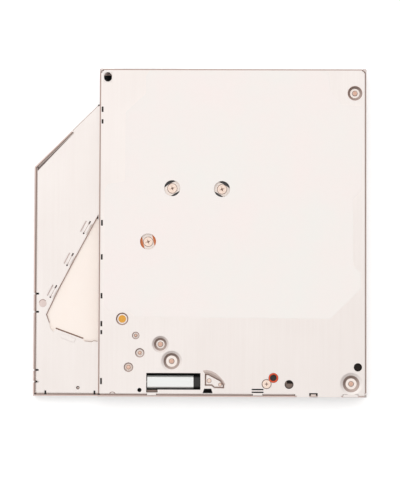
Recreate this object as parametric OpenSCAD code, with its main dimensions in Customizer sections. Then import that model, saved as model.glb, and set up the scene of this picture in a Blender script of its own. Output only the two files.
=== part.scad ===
// Slot-loading optical drive, slim type, lying on its top cover with the underside up.
// The disc slot faces -Y, the data connector +Y, and the thin wing lies towards -X.
// Z = 0 is the outer face of the top cover. All sizes are in millimetres.

/* [Housing] */
// Width over the wing and the full-height body
drive_w = 128; // [127:0.1:131]
// Depth from the slot flange to the rear wall
drive_d = 126.1; // [125.5:0.1:129]
// Height over the top cover and the label
drive_h = 9.5; // [9.5:0.1:12.7]
// Width of the full-height body beside the wing
main_w = 102.7; // [102.3:0.1:104]
// Height of the wing's outer face
wing_h = 5.3; // [5.3:0.05:5.5]
// Sheet thickness of the base chassis
base_t = 0.6; // [0.5:0.05:0.7]
// Sheet thickness of the top cover
cover_t = 0.5; // [0.4:0.05:0.6]
// Thickness of the bare label
label_t = 0.08; // [0.05:0.01:0.15]
// Outer radius of the bends along the underside's edges
bend_r = 0.9; // [0.7:0.1:1.2]
// Gap between the base sheet's free edges and the cover's flange
edge_gap = 0.7; // [0.5:0.05:0.9]
// Depth of the round dishes that carry the lever posts
dish_depth = 0.9; // [0.7:0.05:1]
// Height of the disc slot
slot_h = 3; // [2.6:0.1:3.2]
// Width of the disc slot
slot_w = 122; // [121:0.1:123]

/* [Spindle] */
// Distance from the right wall to the spindle axis
spindle_from_right = 65.27; // [65:0.05:65.8]
// Distance from the rear wall to the spindle axis
spindle_from_rear = 62.65; // [62.4:0.05:63]
// Radius of the circle of the three bracket screws
screw_circle_r = 18.95; // [18.6:0.05:19.2]
// Radius of the three access holes
access_r = 3.07; // [2.9:0.05:3.4]
// Radius of the disc seat
seat_r = 14; // [13.5:0.1:14.3]
// Radius of the hub that enters the disc
hub_r = 7.3; // [7:0.05:7.4]
// Radius of the spindle shaft
shaft_r = 1; // [0.8:0.05:1.2]

/* [Traverse] */
// Distance that the spindle drops between play and eject
drop = 1.5; // [1.3:0.05:1.6]
// Distance from the spindle to the hinge line through the insulators
hinge_u = 60.7; // [60:0.1:61.5]
// Half the distance between the two insulators
insulator_n = 18.7; // [18.4:0.05:19]
// Thickness of the traverse frame
frame_h = 1.6; // [1.4:0.05:1.7]
// Radius of the guide rails
rail_r = 1; // [0.8:0.05:1.1]
// Lens radius at the inner end of the feed travel
lens_in = 23.5; // [23.5:0.1:24]
// Feed travel of the pickup
feed_travel = 34.5; // [30:0.1:34.5]
// Lead of the feed screw
screw_lead = 3; // [2:0.1:4]
// Radius of the feed screw
feed_screw_r = 0.9; // [0.7:0.05:1]

/* [Loading drive] */
// Module of all teeth
tooth_m = 0.4; // [0.38:0.01:0.4]
// Travel of the main slider
slider_travel = 8; // [6:0.1:8]
// Thickness of each gear's toothed rim
gear_t = 0.8; // [0.7:0.02:0.84]
// Radius of the worm at mid-tooth
worm_r = 1.6; // [1.5:0.05:1.7]
// Width of the loading motor across its flat
motor_w = 4.92; // [4.6:0.02:5]
// Length of the loading motor's can
motor_len = 17.75; // [16:0.05:18]
// Running clearance between sliding and turning parts
run_gap = 0.12; // [0.08:0.01:0.15]

/* [Hidden] */
$fn = 48;
eps = 0.01;

// Outer faces and the levels between them
x_r = drive_w / 2;
x_l = -drive_w / 2;
x_step = x_r - main_w;
y_f = -drive_d / 2;
y_b = drive_d / 2;
face_z = drive_h - label_t;
plate_z = face_z - base_t;
wing_z = wing_h - base_t;
wing_edge_x = x_l + cover_t + edge_gap;
front_edge_y = y_f + cover_t + edge_gap;
wall_in_x = x_r - base_t;
rear_in_y = y_b - base_t;
step_in_x = x_step + base_t;
bay_top = 4;
slot_z = (cover_t + bay_top - slot_h) / 2 + 0.15;

// Chamfer of the wing, from its lower end on the left edge to its upper end at the step
chamfer_low = [x_l, y_f + 88.35];
chamfer_high = [x_step, y_f + 113.25];
chamfer_split = 0.57;

// Centres seen on the underside, each from the corner or edge that it belongs to
spindle = [x_r - spindle_from_right, y_b - spindle_from_rear];
front_left = [x_step, y_f];
front_right = [x_r, y_f];
rear_right = [x_r, y_b];
screw_angles = [119.5, 58.9, 192.3];
hinge_z = 5.6;
tilt = asin(drop / hinge_u);
diagonal = -45;

// Loading train: tooth numbers and the centres worked out from them
z_worm_wheel = 20;
z_pinion = 10;
z_first = 25;
z_second = 24;
z_second_pinion = 12;
z_rack_gear = 29;
pressure = 25;
addendum = 0.8 * tooth_m;
dedendum = 1.05 * tooth_m;
backlash = 0.12;
function pitch_r(z) = z * tooth_m / 2;
function polar(r, a) = r * [cos(a), sin(a)];
slider_x0 = step_in_x + 0.3;
slider_w = 2;
rack_line_x = slider_x0 + slider_w + 0.45;
rack_gear_at = [rack_line_x + pitch_r(z_rack_gear), y_f + 29.7];
second_at = rack_gear_at + polar(pitch_r(z_second_pinion) + pitch_r(z_rack_gear), -50.5);
first_at = second_at + polar(pitch_r(z_second) + pitch_r(z_pinion), -76.5);
worm_wheel_at = first_at + polar(pitch_r(z_first) + pitch_r(z_pinion), -128);
worm_y = worm_wheel_at[1] - pitch_r(z_worm_wheel) - worm_r;
low_gear_z = 5.35;
gear_step = 0.25;
high_gear_z = low_gear_z + gear_t + gear_step;
top_gear_z = high_gear_z + gear_t + gear_step;
motor_z = high_gear_z + gear_t / 2;

// Lever pivots and the sheet level of the levers
lever_z = 4.05;
lever_t = 0.35;
side_t = 0.55;
trigger_at = front_left + [28.15, 13.59];
switch_at = front_left + [23.82, 20.05];
front_lever_at = front_right + [-5.89, 5.17];
eject_lever_at = rear_right + [-4.43, -9.36];
side_lever_at = [x_step + 6.2, y_f + 73.05];

// Outline whose corners are rounded by arcs of radius r
function unit(v) = v / norm(v);
function cross2(a, b) = a[0] * b[1] - a[1] * b[0];
function turned(v, a) = [v[0] * cos(a) - v[1] * sin(a), v[0] * sin(a) + v[1] * cos(a)];
function corner_arc(p, c, n, r, k) =
    let (a = unit(p - c), b = unit(n - c), half = acos(a * b) / 2,
         back = min(r / tan(half), 0.48 * min(norm(p - c), norm(n - c))),
         mid = c + unit(a + b) * back / cos(half),
         start = c + a * back - mid,
         sweep = (2 * half - 180) * sign(cross2(a, b)))
    [for (i = [0:k]) mid + turned(start, sweep * i / k)];
function rounded(pts, r, k = 5) = let (m = len(pts))
    [for (i = [0:m - 1]) each corner_arc(pts[(i + m - 1) % m], pts[i], pts[(i + 1) % m], r, k)];
function shifted(pts, d) = [for (p = pts) p + d];

module at(p, z = 0) translate([p[0], p[1], z]) children();
module plate(pts, z, t) translate([0, 0, z]) linear_extrude(t) polygon(pts);
module box(x0, x1, y0, y1, z0, z1) translate([x0, y0, z0]) cube([x1 - x0, y1 - y0, z1 - z0]);
module disc(p, r, z0, z1) at(p, z0) cylinder(r = r, h = z1 - z0);
module ring(p, r_out, r_in, z0, z1) difference() {
    disc(p, r_out, z0, z1);
    disc(p, r_in, z0 - 1, z1 + 1);
}
// Flat bar with round ends from p to q
module strip(p, q, w, z, t) {
    disc(p, w / 2, z, z + t);
    disc(q, w / 2, z, z + t);
    at(p, z) rotate(atan2(q[1] - p[1], q[0] - p[0])) translate([0, -w / 2, 0])
        cube([norm(q - p), w, t]);
}

// Base chassis: one stamped and bent sheet
// Dishes: centre, rim, inner edge of the soft rim, flat radius, depth, radius of the centre hole
lever_dishes = [[trigger_at, 4, 3.05, 2.2], [switch_at, 3.2, 2.4, 1.6],
    [front_lever_at, 4.26, 3.14, 2.13], [eject_lever_at, 2.8, 2.6, 1.85]];
gear_dishes = [[first_at, 1.8, 1.6, 1.3], [worm_wheel_at, 1.8, 1.65, 1.4],
    [second_at, 1.4, 1.3, 1.1], [rack_gear_at, 2.4, 2.2, 1.9]];
gear_dish_depth = 0.35;
gear_post_r = 0.5;
lever_post_r = 0.9;
bush_r = 1.2;
round_holes = [[front_left + [15.9, 2.55], 0.8], [front_left + [73.07, 4.87], 1.68],
    [front_right + [-3.33, 11.51], 1.57], [front_left + [67.12, 7.35], 1.88]];
front_screw_at = front_left + [64.5, 4.99];
front_screw_r = 1.58;
// Slots beside the step: distance of the middle from the front edge, and length
step_slots = [[110.35, 2], [105.65, 1.6], [66.55, 2.1], [53.45, 2], [38.55, 2], [27.85, 2],
    [24.6, 1.5], [5.9, 2.3]];
front_tabs = [[18.8, 22.3], [59.2, 62.95], [75.4, 93.6], [99.55, 101.9]];
motor_window = [front_left + [18.5, 2.75], front_left + [39.2, 9.07]];
lever_recess_rim = shifted([[40.3, 9.6], [42.9, 9.6], [48.4, 7], [49.7, 4.9], [49.6, 2.9],
    [44.3, 2.9], [43.4, 3.7], [40.3, 3.7]], front_left);
lever_recess_flat = shifted([[40.9, 8.87], [42.25, 8.87], [47.11, 6.34], [48.34, 4.41],
    [48.23, 3.31], [44.45, 3.41], [43.45, 4.27], [40.9, 4.27]], front_left);
tab_hole = shifted([[40.06, 1.45], [43.85, 1.45], [43.34, 3.15], [40.67, 3.15]], front_left);
slot_pair = [front_left + [58.8, 1.6], front_left + [63.3, 3.15]];
rear_hole_at = [x_step + 3.17, y_b - 3.24];
// The wing's opening over the side lever
wing_opening = shifted([[-0.45, 70.2], [-3.9, 63.75], [-9.2, 53.85], [-15.8, 41.25],
    [-20.5, 31.35], [-19.35, 28.3], [-18.7, 25.85], [-17.6, 24.75], [-16.7, 25.75],
    [-6.3, 21.95], [-5.6, 21.05], [-2.9, 20.7], [-2, 21.15], [-0.45, 20.9]], front_left);
bridges = [[-5.05, 64.8], [-11.35, 52.45], [-17.75, 40.05]];
bridge_angle = atan2(12.6, 6.6);

module dish(p, rim, shoulder, flat_r, depth, hole) at(p) rotate_extrude()
    polygon([[hole, face_z - depth - base_t], [flat_r, face_z - depth - base_t],
        [shoulder, face_z - 0.35 * depth - base_t], [rim, plate_z], [rim + eps, plate_z],
        [rim + eps, face_z], [rim, face_z], [shoulder, face_z - 0.35 * depth],
        [flat_r, face_z - depth], [hole, face_z - depth]]);

// Bent edge: a flat leg of length leg and a wall down to z_low, with true bend radii
module bend_section(leg, z_top, z_low) {
    translate([-leg, z_top - base_t]) square([leg - bend_r, base_t]);
    translate([-base_t, z_low]) square([base_t, z_top - bend_r - z_low]);
    translate([-bend_r, z_top - bend_r]) intersection() {
        difference() {
            circle(bend_r);
            circle(bend_r - base_t);
        }
        square(bend_r);
    }
}
// Bent edge along a line from p to q, with the wall on the line's right-hand side
module bent_edge(p, q, leg, z_top, z_low) at(p) rotate(atan2(q[1] - p[1], q[0] - p[0]))
    rotate([90, 0, 90]) linear_extrude(norm(q - p)) mirror([1, 0]) bend_section(leg, z_top, z_low);

module base_sheet() {
    corner = 1.6;
    inner = bend_r + 1;
    plate(rounded([[x_step + bend_r, front_edge_y], [x_r - bend_r, front_edge_y],
        [x_r - bend_r, y_b - bend_r], [x_step + bend_r, y_b - bend_r]], 0.6), plate_z, base_t);
    bent_edge([x_r, y_f + 1.6], [x_r, y_b - corner], inner, face_z, cover_t);
    bent_edge([x_r - corner, y_b], [x_step + corner, y_b], inner, face_z, cover_t);
    bent_edge([x_step, y_b - corner], [x_step, front_edge_y], inner, face_z, wing_z);
    box(x_step, step_in_x, chamfer_high[1] + 0.2, y_b - corner, cover_t, wing_z + 1);
    for (t = front_tabs) box(x_step + t[0], x_step + t[1], y_f + cover_t + 0.1, front_edge_y + 1,
        plate_z, face_z);
    box(x_step + 76, x_step + 93, y_f, y_f + cover_t + 0.2, plate_z, face_z);
}
module wing_sheet() {
    split = chamfer_low + (chamfer_high - chamfer_low) * chamfer_split;
    inward = unit(turned(chamfer_high - chamfer_low, -90));
    low_in = chamfer_low + inward * (cover_t + edge_gap);
    split_in = split + inward * (cover_t + edge_gap);
    plate(rounded([[x_step + base_t, front_edge_y], [x_step + base_t, chamfer_high[1]],
        chamfer_high, split, split_in, [wing_edge_x, low_in[1] - 0.7],
        [wing_edge_x, front_edge_y]], 0.4, 3), wing_z, base_t);
    for (y = [[4, 9.9], [10.1, 32.2], [39.5, 80]])
        box(wing_edge_x, wing_edge_x + base_t, y_f + y[0] + 0.3, y_f + y[1] - 0.3, cover_t, wing_z);
    at(split) rotate(atan2(chamfer_high[1] - split[1], chamfer_high[0] - split[0]))
        translate([0.5, -base_t, cover_t])
            cube([norm(chamfer_high - split) - 1.5, base_t, wing_z - cover_t + eps]);
}
// Raised strap lanced out of the wing beside its opening
module bridge(p) at(p, wing_h) rotate(bridge_angle) {
    translate([-2.3, -1.15, -base_t]) cube([4.6, 2.3, base_t]);
    translate([-1.6, -0.9, -eps]) cube([3.2, 1.8, 0.25]);
}
module base_holes() {
    for (d = lever_dishes) disc(d[0], d[1], plate_z - 1, drive_h + 1);
    for (d = gear_dishes) disc(d[0], d[1], plate_z - 1, drive_h + 1);
    for (h = round_holes) disc(h[0], h[1], plate_z - 1, drive_h + 1);
    for (a = screw_angles) disc(spindle + polar(screw_circle_r, a), access_r, plate_z - 1,
        drive_h + 1);
    for (s = step_slots) box(x_step + bend_r, x_step + bend_r + 0.55, y_f + s[0] - s[1] / 2,
        y_f + s[0] + s[1] / 2, plate_z - 1, drive_h + 1);
    box(motor_window[0][0], motor_window[1][0], motor_window[0][1], motor_window[1][1],
        plate_z - 1, drive_h + 1);
    box(motor_window[0][0], motor_window[0][0] + 4.3, motor_window[0][1] - 1.1,
        motor_window[1][1], plate_z - 1, drive_h + 1);
    plate(lever_recess_rim, plate_z - 1, 3);
    plate(tab_hole, plate_z - 1, 3);
    box(slot_pair[0][0], slot_pair[1][0], slot_pair[0][1], slot_pair[0][1] + 0.5, plate_z - 1,
        drive_h + 1);
    box(slot_pair[0][0], slot_pair[1][0], slot_pair[1][1] - 0.5, slot_pair[1][1], plate_z - 1,
        drive_h + 1);
    at(rear_hole_at, plate_z - 1) translate([-1.5, -1.8, 0]) cube([3, 3.6, 3]);
    disc(front_screw_at, front_screw_r + 0.3, face_z - 0.3, drive_h + 1);
    disc(front_screw_at, 0.75, plate_z - 1, drive_h + 1);
    box(x_step + 80.8, x_step + 84, y_f + 0.1, y_f + 1.6, plate_z - 1, drive_h + 1);
}
module wing_holes() {
    plate(wing_opening, wing_z - 1, 2.2);
    for (b = bridges) at(front_left + b, wing_z - 1) rotate(bridge_angle)
        for (s = [-1, 1]) translate([-2.3, s * 1.35 - 0.2, 0]) cube([4.6, 0.4, 3]);
    disc(front_left + [-8, 3.2], 0.63, wing_z - 1, wing_h + 1);
    for (y = [5.5, 9.95, 32.35, 39.35]) box(x_l - 1, wing_edge_x + 0.9, y_f + y - 0.35, y_f + y + 0.35,
        cover_t + 1, wing_h + 1);
    for (x = [-20.5, -1.6]) box(x_step + x - 0.35, x_step + x + 0.35, y_f - 1, front_edge_y + 0.9,
        wing_z - 1, wing_h + 1);
}
connector_x = [x_step + 7.2, x_step + 31.2];
connector_z = [2.3, 7.3];
module wall_holes() {
    box(connector_x[0] - 0.2, connector_x[1] + 0.2, rear_in_y - 2, y_b + 1, connector_z[0] - 0.2,
        connector_z[1] + 0.2);
    for (s = side_holes) translate([x_r + 1, s, side_hole_z]) rotate([0, -90, 0])
        cylinder(r = side_hole_r, h = 4);
    for (s = side_screws) translate([x_r + 1, s, ear_z]) rotate([0, -90, 0])
        cylinder(r = 0.8, h = 4);
    translate([rear_screw_x, y_b + 1, ear_z]) rotate([90, 0, 0]) cylinder(r = 0.8, h = 4);
}
// Tapped holes in the right wall for a mounting bracket, and the cover's screws
side_holes = [y_f + 17.5, y_b - 16];
side_hole_z = 5.6;
side_hole_r = 0.8;
collar_r = 1.6;
collar_len = 0.9;
side_screws = [y_f + 30, y_b - 30];
rear_screw_x = x_r - 24;
ear_z = 2.2;

module base_chassis() color([0.93, 0.9, 0.88]) {
    difference() {
        union() {
            base_sheet();
            wing_sheet();
            for (b = bridges) bridge(front_left + b);
            translate([0, 0, wing_h - eps]) at(front_left + [-11.8, 22.25]) rotate(-20)
                translate([-2.7, -0.8, 0]) cube([5.4, 1.6, 0.25]);
        }
        base_holes();
        wing_holes();
        wall_holes();
    }
    for (d = lever_dishes) dish(d[0], d[1], d[2], d[3], dish_depth, lever_post_r);
    for (d = gear_dishes) dish(d[0], d[1], d[2], d[3], gear_dish_depth,
        d[0] == rack_gear_at ? bush_r : gear_post_r);
    difference() {
        plate(lever_recess_rim, plate_z - dish_depth, base_t + dish_depth);
        plate(lever_recess_flat, face_z - dish_depth, 3);
    }
    for (s = side_holes) translate([wall_in_x + eps, s, side_hole_z]) rotate([0, -90, 0])
        difference() {
            cylinder(r = collar_r, h = collar_len);
            translate([0, 0, -1]) cylinder(r = side_hole_r, h = 4);
        }
}

// Top cover: flat panel with the disc clamp's boss, front flange and wing flange
ear_len = 6;
boss_r = 15;
boss_h = 0.45;
module wing_outline(d = 0) polygon([[x_l + d, y_f + d], [x_r - d, y_f + d], [x_r - d, y_b - d],
    [x_step + 0.3 * d, y_b - d], [x_step + 0.3 * d, chamfer_high[1] + 0.35 * d],
    [x_l + d, chamfer_low[1] - 0.42 * d]]);
module top_cover() color([0.86, 0.86, 0.87]) {
    difference() {
        union() {
            linear_extrude(cover_t) wing_outline();
            at(spindle, cover_t / 2) cylinder(r1 = boss_r + 1.5 * cover_t / boss_h,
                r2 = boss_r - 3, h = boss_h + cover_t / 2);
        }
        at(spindle, -1) cylinder(r1 = boss_r - 0.7 + 3 / boss_h, r2 = boss_r - 3.7,
            h = boss_h + 1);
    }
    difference() {
        union() {
            box(x_l, x_step - 0.2, y_f, y_f + cover_t, 0, wing_h - 0.05);
            box(x_step - 0.2, x_r, y_f, y_f + cover_t, 0, plate_z - 0.05);
            box(x_step + 0.4, x_step + 75.5, y_f, y_f + cover_t, 0, face_z - 0.05);
            box(x_l, x_l + cover_t, y_f, chamfer_low[1] + 0.2, 0, wing_h - 0.05);
            at(chamfer_low) rotate(atan2(chamfer_high[1] - chamfer_low[1],
                chamfer_high[0] - chamfer_low[0])) translate([0.3, -cover_t - 0.02, 0.1])
                    cube([norm(chamfer_high - chamfer_low) * chamfer_split - 0.5, cover_t,
                        wing_h - 0.15]);
        }
        box(spindle[0] - slot_w / 2, spindle[0] + slot_w / 2, y_f - 1, y_f + cover_t + 1, slot_z,
            slot_z + slot_h);
        for (y = [5.5, 9.95, 32.35, 39.35]) box(x_l - 1, x_l + cover_t + 1, y_f + y - 0.35,
            y_f + y + 0.35, cover_t + 1, wing_h + 1);
    }
    for (s = side_screws) difference() {
        box(wall_in_x - 0.6, wall_in_x - 0.1, s - ear_len / 2, s + ear_len / 2, cover_t - eps, 3.6);
        translate([x_r + 1, s, ear_z]) rotate([0, -90, 0]) cylinder(r = 0.6, h = 4);
    }
    difference() {
        box(rear_screw_x - ear_len / 2, rear_screw_x + ear_len / 2, rear_in_y - 0.6,
            rear_in_y - 0.1, cover_t - eps, 3.6);
        translate([rear_screw_x, y_b + 1, ear_z]) rotate([90, 0, 0]) cylinder(r = 0.6, h = 4);
    }
}
// Flat-head screw along +Z, with its head's outer face at z = 0 and a cross recess
module flat_screw(head_r, head_t, shank_r, len) difference() {
    union() {
        translate([0, 0, -head_t]) cylinder(r = head_r, h = head_t);
        translate([0, 0, -len]) cylinder(r = shank_r, h = len);
    }
    for (a = [0, 90]) rotate(a) translate([-0.62 * head_r, -0.11 * head_r, -0.6 * head_t])
        cube([1.24 * head_r, 0.22 * head_r, head_t]);
}
module cover_screws() color([0.8, 0.8, 0.82]) {
    for (s = side_screws) translate([x_r, s, ear_z]) rotate([0, 90, 0])
        flat_screw(0.8, 0.3, 0.6, 2);
    translate([rear_screw_x, y_b, ear_z]) rotate([-90, 0, 0]) flat_screw(0.8, 0.3, 0.6, 2);
}
// Bare label over the traverse and the board
label_points = concat(shifted([[19.23, 125.38], [17.81, 123.12], [17.86, 116.42],
    [10.03, 109.23], [9.99, 82.52], [3.37, 81.51], [2.15, 79.58], [2.08, 34.97], [3.82, 32.76],
    [11.65, 32.77], [14.36, 30.45]], front_left), shifted([[-13.88, 30], [-2.09, 41.59],
    [-2.19, 47.66], [-5.13, 50.34], [-5.12, 75.93], [-1.9, 79.13], [-1.13, 111.7],
    [-8.98, 112.17], [-13.67, 117.6], [-14.41, 124.52], [-15.37, 125.3]], front_right));
module label_sheet() color([0.95, 0.93, 0.92]) difference() {
    plate(rounded(label_points, 1.2), face_z, label_t);
    for (a = screw_angles) disc(spindle + polar(screw_circle_r, a), access_r, face_z - 1,
        drive_h + 1);
}
module felt_lips() color([0.12, 0.12, 0.13]) for (z = [slot_z - 0.35, slot_z + slot_h - 0.15])
    box(spindle[0] - slot_w / 2, spindle[0] + slot_w / 2, y_f + cover_t, y_f + cover_t + 0.6, z,
        z + 0.5);
module slot_guide() color([0.16, 0.16, 0.17]) {
    z0 = slot_z + slot_h + 0.35;
    box(wing_edge_x + 1, x_r - 4, y_f + cover_t, y_f + cover_t + 1, z0, wing_z);
    for (x = [x_l + 14, spindle[0] - 20, spindle[0] + 20, x_r - 12])
        box(x - 2, x + 2, y_f + cover_t + 1 - eps, y_f + cover_t + 2, z0, wing_z);
}
module front_screw() color([0.82, 0.82, 0.84]) at(front_screw_at, face_z + 0.05)
    flat_screw(front_screw_r, 0.3, 0.74, 3);

// Electronics
board_z = 7.2;
board_t = 0.8;
board_pts = shifted([[9, 88], [20, 88], [27, 93], [50, 93], [57, 86], [80, 86], [85, 92],
    [85, 122], [9, 122]], front_left);
module main_board() color([0.1, 0.35, 0.2]) difference() {
    plate(board_pts, board_z, board_t);
    disc(spindle, seat_r + 12, board_z - 1, drive_h);
    disc(rear_hole_at, 3, board_z - 1, drive_h);
    disc(eject_lever_at, 4.5, board_z - 1, drive_h);
}
module chip(x, y, w, h) box(front_left[0] + x, front_left[0] + x + w, y_f + y, y_f + y + w,
    board_z - h, board_z);
module controller_chip() color([0.1, 0.1, 0.11]) chip(36, 101, 12, 1.2);
module driver_chips() color([0.12, 0.12, 0.13]) for (x = [18, 56]) chip(x, 100, 7, 1);
module board_connectors() color([0.85, 0.82, 0.75]) for (x = [30, 68])
    box(front_left[0] + x, front_left[0] + x + 14, y_f + 94.5, y_f + 98, board_z - 1.4, board_z);
module sata_connector() color([0.1, 0.1, 0.1]) difference() {
    box(connector_x[0], connector_x[1], rear_in_y - 7, y_b, connector_z[0], connector_z[1] - 0.1);
    box(connector_x[0] + 1, connector_x[1] - 1, rear_in_y - 4, y_b + 1, connector_z[0] + 1,
        connector_z[0] + 4.1);
}
module sata_contacts() color([0.9, 0.75, 0.35]) for (i = [0:12])
    box(connector_x[0] + 3 + i * 1.5 - 0.3, connector_x[0] + 3 + i * 1.5 + 0.3, rear_in_y - 4,
        rear_in_y - 0.6, connector_z[0] + 1, connector_z[0] + 1.4);
module detect_switch() color([0.15, 0.15, 0.16])
    box(switch_at[0] + 5, switch_at[0] + 9, switch_at[1] - 2, switch_at[1] + 2, plate_z - 2,
        plate_z);

// Loading motor, worm and gear train
function involute(r, rb) = r <= rb ? 0 : tan(acos(rb / r)) * 180 / PI - acos(rb / r);
function tooth_half(r, rp, rb, z) = 90 / z - backlash / 4 / rp * 180 / PI + involute(rp, rb)
    - involute(r, rb);
function gear_points(z, phase) = let (rp = pitch_r(z), rb = rp * cos(pressure),
    r0 = rp - dedendum, r1 = rp + addendum, steps = 4)
    [for (i = [0:z - 1], s = [-1, 1], k = [0:steps])
        let (r = s < 0 ? r0 + (r1 - r0) * k / steps : r1 - (r1 - r0) * k / steps)
        polar(r, phase + 360 * i / z + s * tooth_half(r, rp, rb, z))];
// Phase of a wheel that meshes with a partner of za teeth, seen at direction d from it
function mesh_phase(phase_a, za, zb, d) = d + 180 + 360 / zb * (0.5 - (phase_a - d) * za / 360);
function direction(p, q) = atan2(q[1] - p[1], q[0] - p[0]);
rack_phase = 180 + 180 / z_rack_gear;
second_phase = mesh_phase(rack_phase, z_rack_gear, z_second_pinion,
    direction(rack_gear_at, second_at));
first_phase = mesh_phase(second_phase, z_second, z_pinion, direction(second_at, first_at));
wheel_phase = mesh_phase(first_phase, z_first, z_pinion, direction(first_at, worm_wheel_at));
worm_wheel_phase = -90;
gear_hub_gap = 0.15;
module gear(p, z, phase, z0) at(p, z0) linear_extrude(gear_t) polygon(gear_points(z, phase));
module bored(p, r) difference() {
    children();
    disc(p, r, 0, drive_h);
}
module double_gear(p, z_low, phase_low, z_high, phase_high, base_z) bored(p, gear_post_r + 0.06) {
    gear(p, z_low, phase_low, base_z);
    gear(p, z_high, phase_high, base_z + gear_t + gear_step);
    disc(p, min(pitch_r(z_low), pitch_r(z_high)) - dedendum, base_z,
        base_z + 2 * gear_t + gear_step);
}
module worm_wheel() color([0.9, 0.88, 0.8]) double_gear(worm_wheel_at, z_pinion, wheel_phase,
    z_worm_wheel, worm_wheel_phase, low_gear_z);
module first_gear() color([0.92, 0.9, 0.84]) double_gear(first_at, z_first, first_phase,
    z_pinion, first_phase, low_gear_z);
module second_gear() color([0.9, 0.88, 0.8]) double_gear(second_at, z_second,
    second_phase, z_second_pinion, second_phase, high_gear_z);
module rack_gear() color([0.92, 0.9, 0.84]) bored(rack_gear_at, bush_r + 0.06)
    gear(rack_gear_at, z_rack_gear, rack_phase, top_gear_z);
module rack_gear_bush() color([0.85, 0.6, 0.25]) difference() {
    union() {
        disc(rack_gear_at, bush_r, top_gear_z - 0.15, face_z - gear_dish_depth);
        disc(rack_gear_at, bush_r + 0.5, top_gear_z - 0.3, top_gear_z - 0.1);
        disc(rack_gear_at, bush_r + 0.26, face_z - gear_dish_depth, face_z - 0.1);
    }
    disc(rack_gear_at, 0.45, 0, face_z - 0.5);
}
module gear_posts() color([0.85, 0.85, 0.87]) for (g = [[first_at, 0.85, low_gear_z],
    [worm_wheel_at, 1.1, low_gear_z], [second_at, 0.68, high_gear_z]]) {
    disc(g[0], gear_post_r, low_gear_z - 0.5, face_z - gear_dish_depth);
    disc(g[0], g[1], face_z - gear_dish_depth, face_z - 0.1);
    disc(g[0], gear_post_r + 0.3, low_gear_z - 0.5, g[2] - gear_hub_gap);
}
lever_posts_at = [[trigger_at, 0.93], [switch_at, 0.8], [front_lever_at, 0.9],
    [eject_lever_at, 0.97]];
post_shank_r = 0.7;
dish_floor_z = face_z - dish_depth;
module lever_posts() color([0.83, 0.83, 0.85]) {
    for (p = lever_posts_at) {
        disc(p[0], lever_post_r, lever_z + lever_t + 0.1, dish_floor_z + 0.3);
        disc(p[0], post_shank_r, lever_z - 0.3, lever_z + lever_t + 0.1);
    }
    disc(side_lever_at, lever_post_r, lever_z + side_t + 0.1, plate_z);
    disc(side_lever_at, post_shank_r, lever_z - 0.3, lever_z + side_t + 0.1);
}
module post_rings() color([0.7, 0.7, 0.72])
    for (p = concat([for (q = lever_posts_at) q[0]], [side_lever_at]))
        ring(p, post_shank_r + 0.8, post_shank_r, lever_z - 0.27, lever_z - 0.07);

motor_x1 = motor_window[0][0] + 0.3 + motor_len;
motor_x0 = motor_x1 - motor_len;
worm_len = 7;
worm_x0 = worm_wheel_at[0] - worm_len / 2;
worm_lead = PI * tooth_m;
module can_section(w, h, r) intersection() {
    circle(r);
    square([w, h], center = true);
}
module loading_motor() color([0.9, 0.92, 0.92]) translate([motor_x0, worm_y, motor_z])
    rotate([90, 0, 90]) linear_extrude(motor_len) can_section(motor_w, 4.1, motor_w * 0.56);
module motor_end_cap() color([0.08, 0.08, 0.09]) {
    translate([motor_x1, worm_y, motor_z]) rotate([90, 0, 90]) linear_extrude(2.6)
        can_section(motor_w * 0.94, 3.9, motor_w * 0.53);
    box(motor_x1 + 0.4, motor_x1 + 2.2, worm_y - 1.5, worm_y + 1.5, motor_z + 1.9, plate_z);
}
// Single-start worm whose thread is thinned for the straight teeth of its wheel
function worm_radius(a) = let (pos = abs(a) / 360 * worm_lead, half = 0.13 + 0.07)
    worm_r + max(-dedendum, min(addendum, (half - pos) / tan(pressure)));
module worm() color([0.75, 0.75, 0.78]) {
    translate([worm_x0, worm_y, motor_z]) rotate([90, 0, 90])
        rotate(180 - 180 * worm_len / worm_lead) linear_extrude(worm_len, twist = -360 * worm_len / worm_lead,
            slices = round(10 * worm_len / worm_lead), $fn = 12)
            polygon([for (a = [-180:30:150]) polar(worm_radius(a), a)]);
    for (x = [[motor_x0 - worm_x0 - worm_len - 0.03, worm_x0 + worm_len], [2.2, worm_x0 - 2.2]])
        translate([x[1], worm_y, motor_z]) rotate([0, 90, 0]) cylinder(r = 0.5, h = x[0]);
}
module worm_bearing() color([0.15, 0.15, 0.16]) difference() {
    box(worm_x0 - 2, worm_x0 - 0.4, worm_y - 1.6, worm_y + 1.6, motor_z - 1.5, plate_z);
    translate([worm_x0 - 3, worm_y, motor_z]) rotate([0, 90, 0]) cylinder(r = 0.58, h = 4);
}

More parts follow.
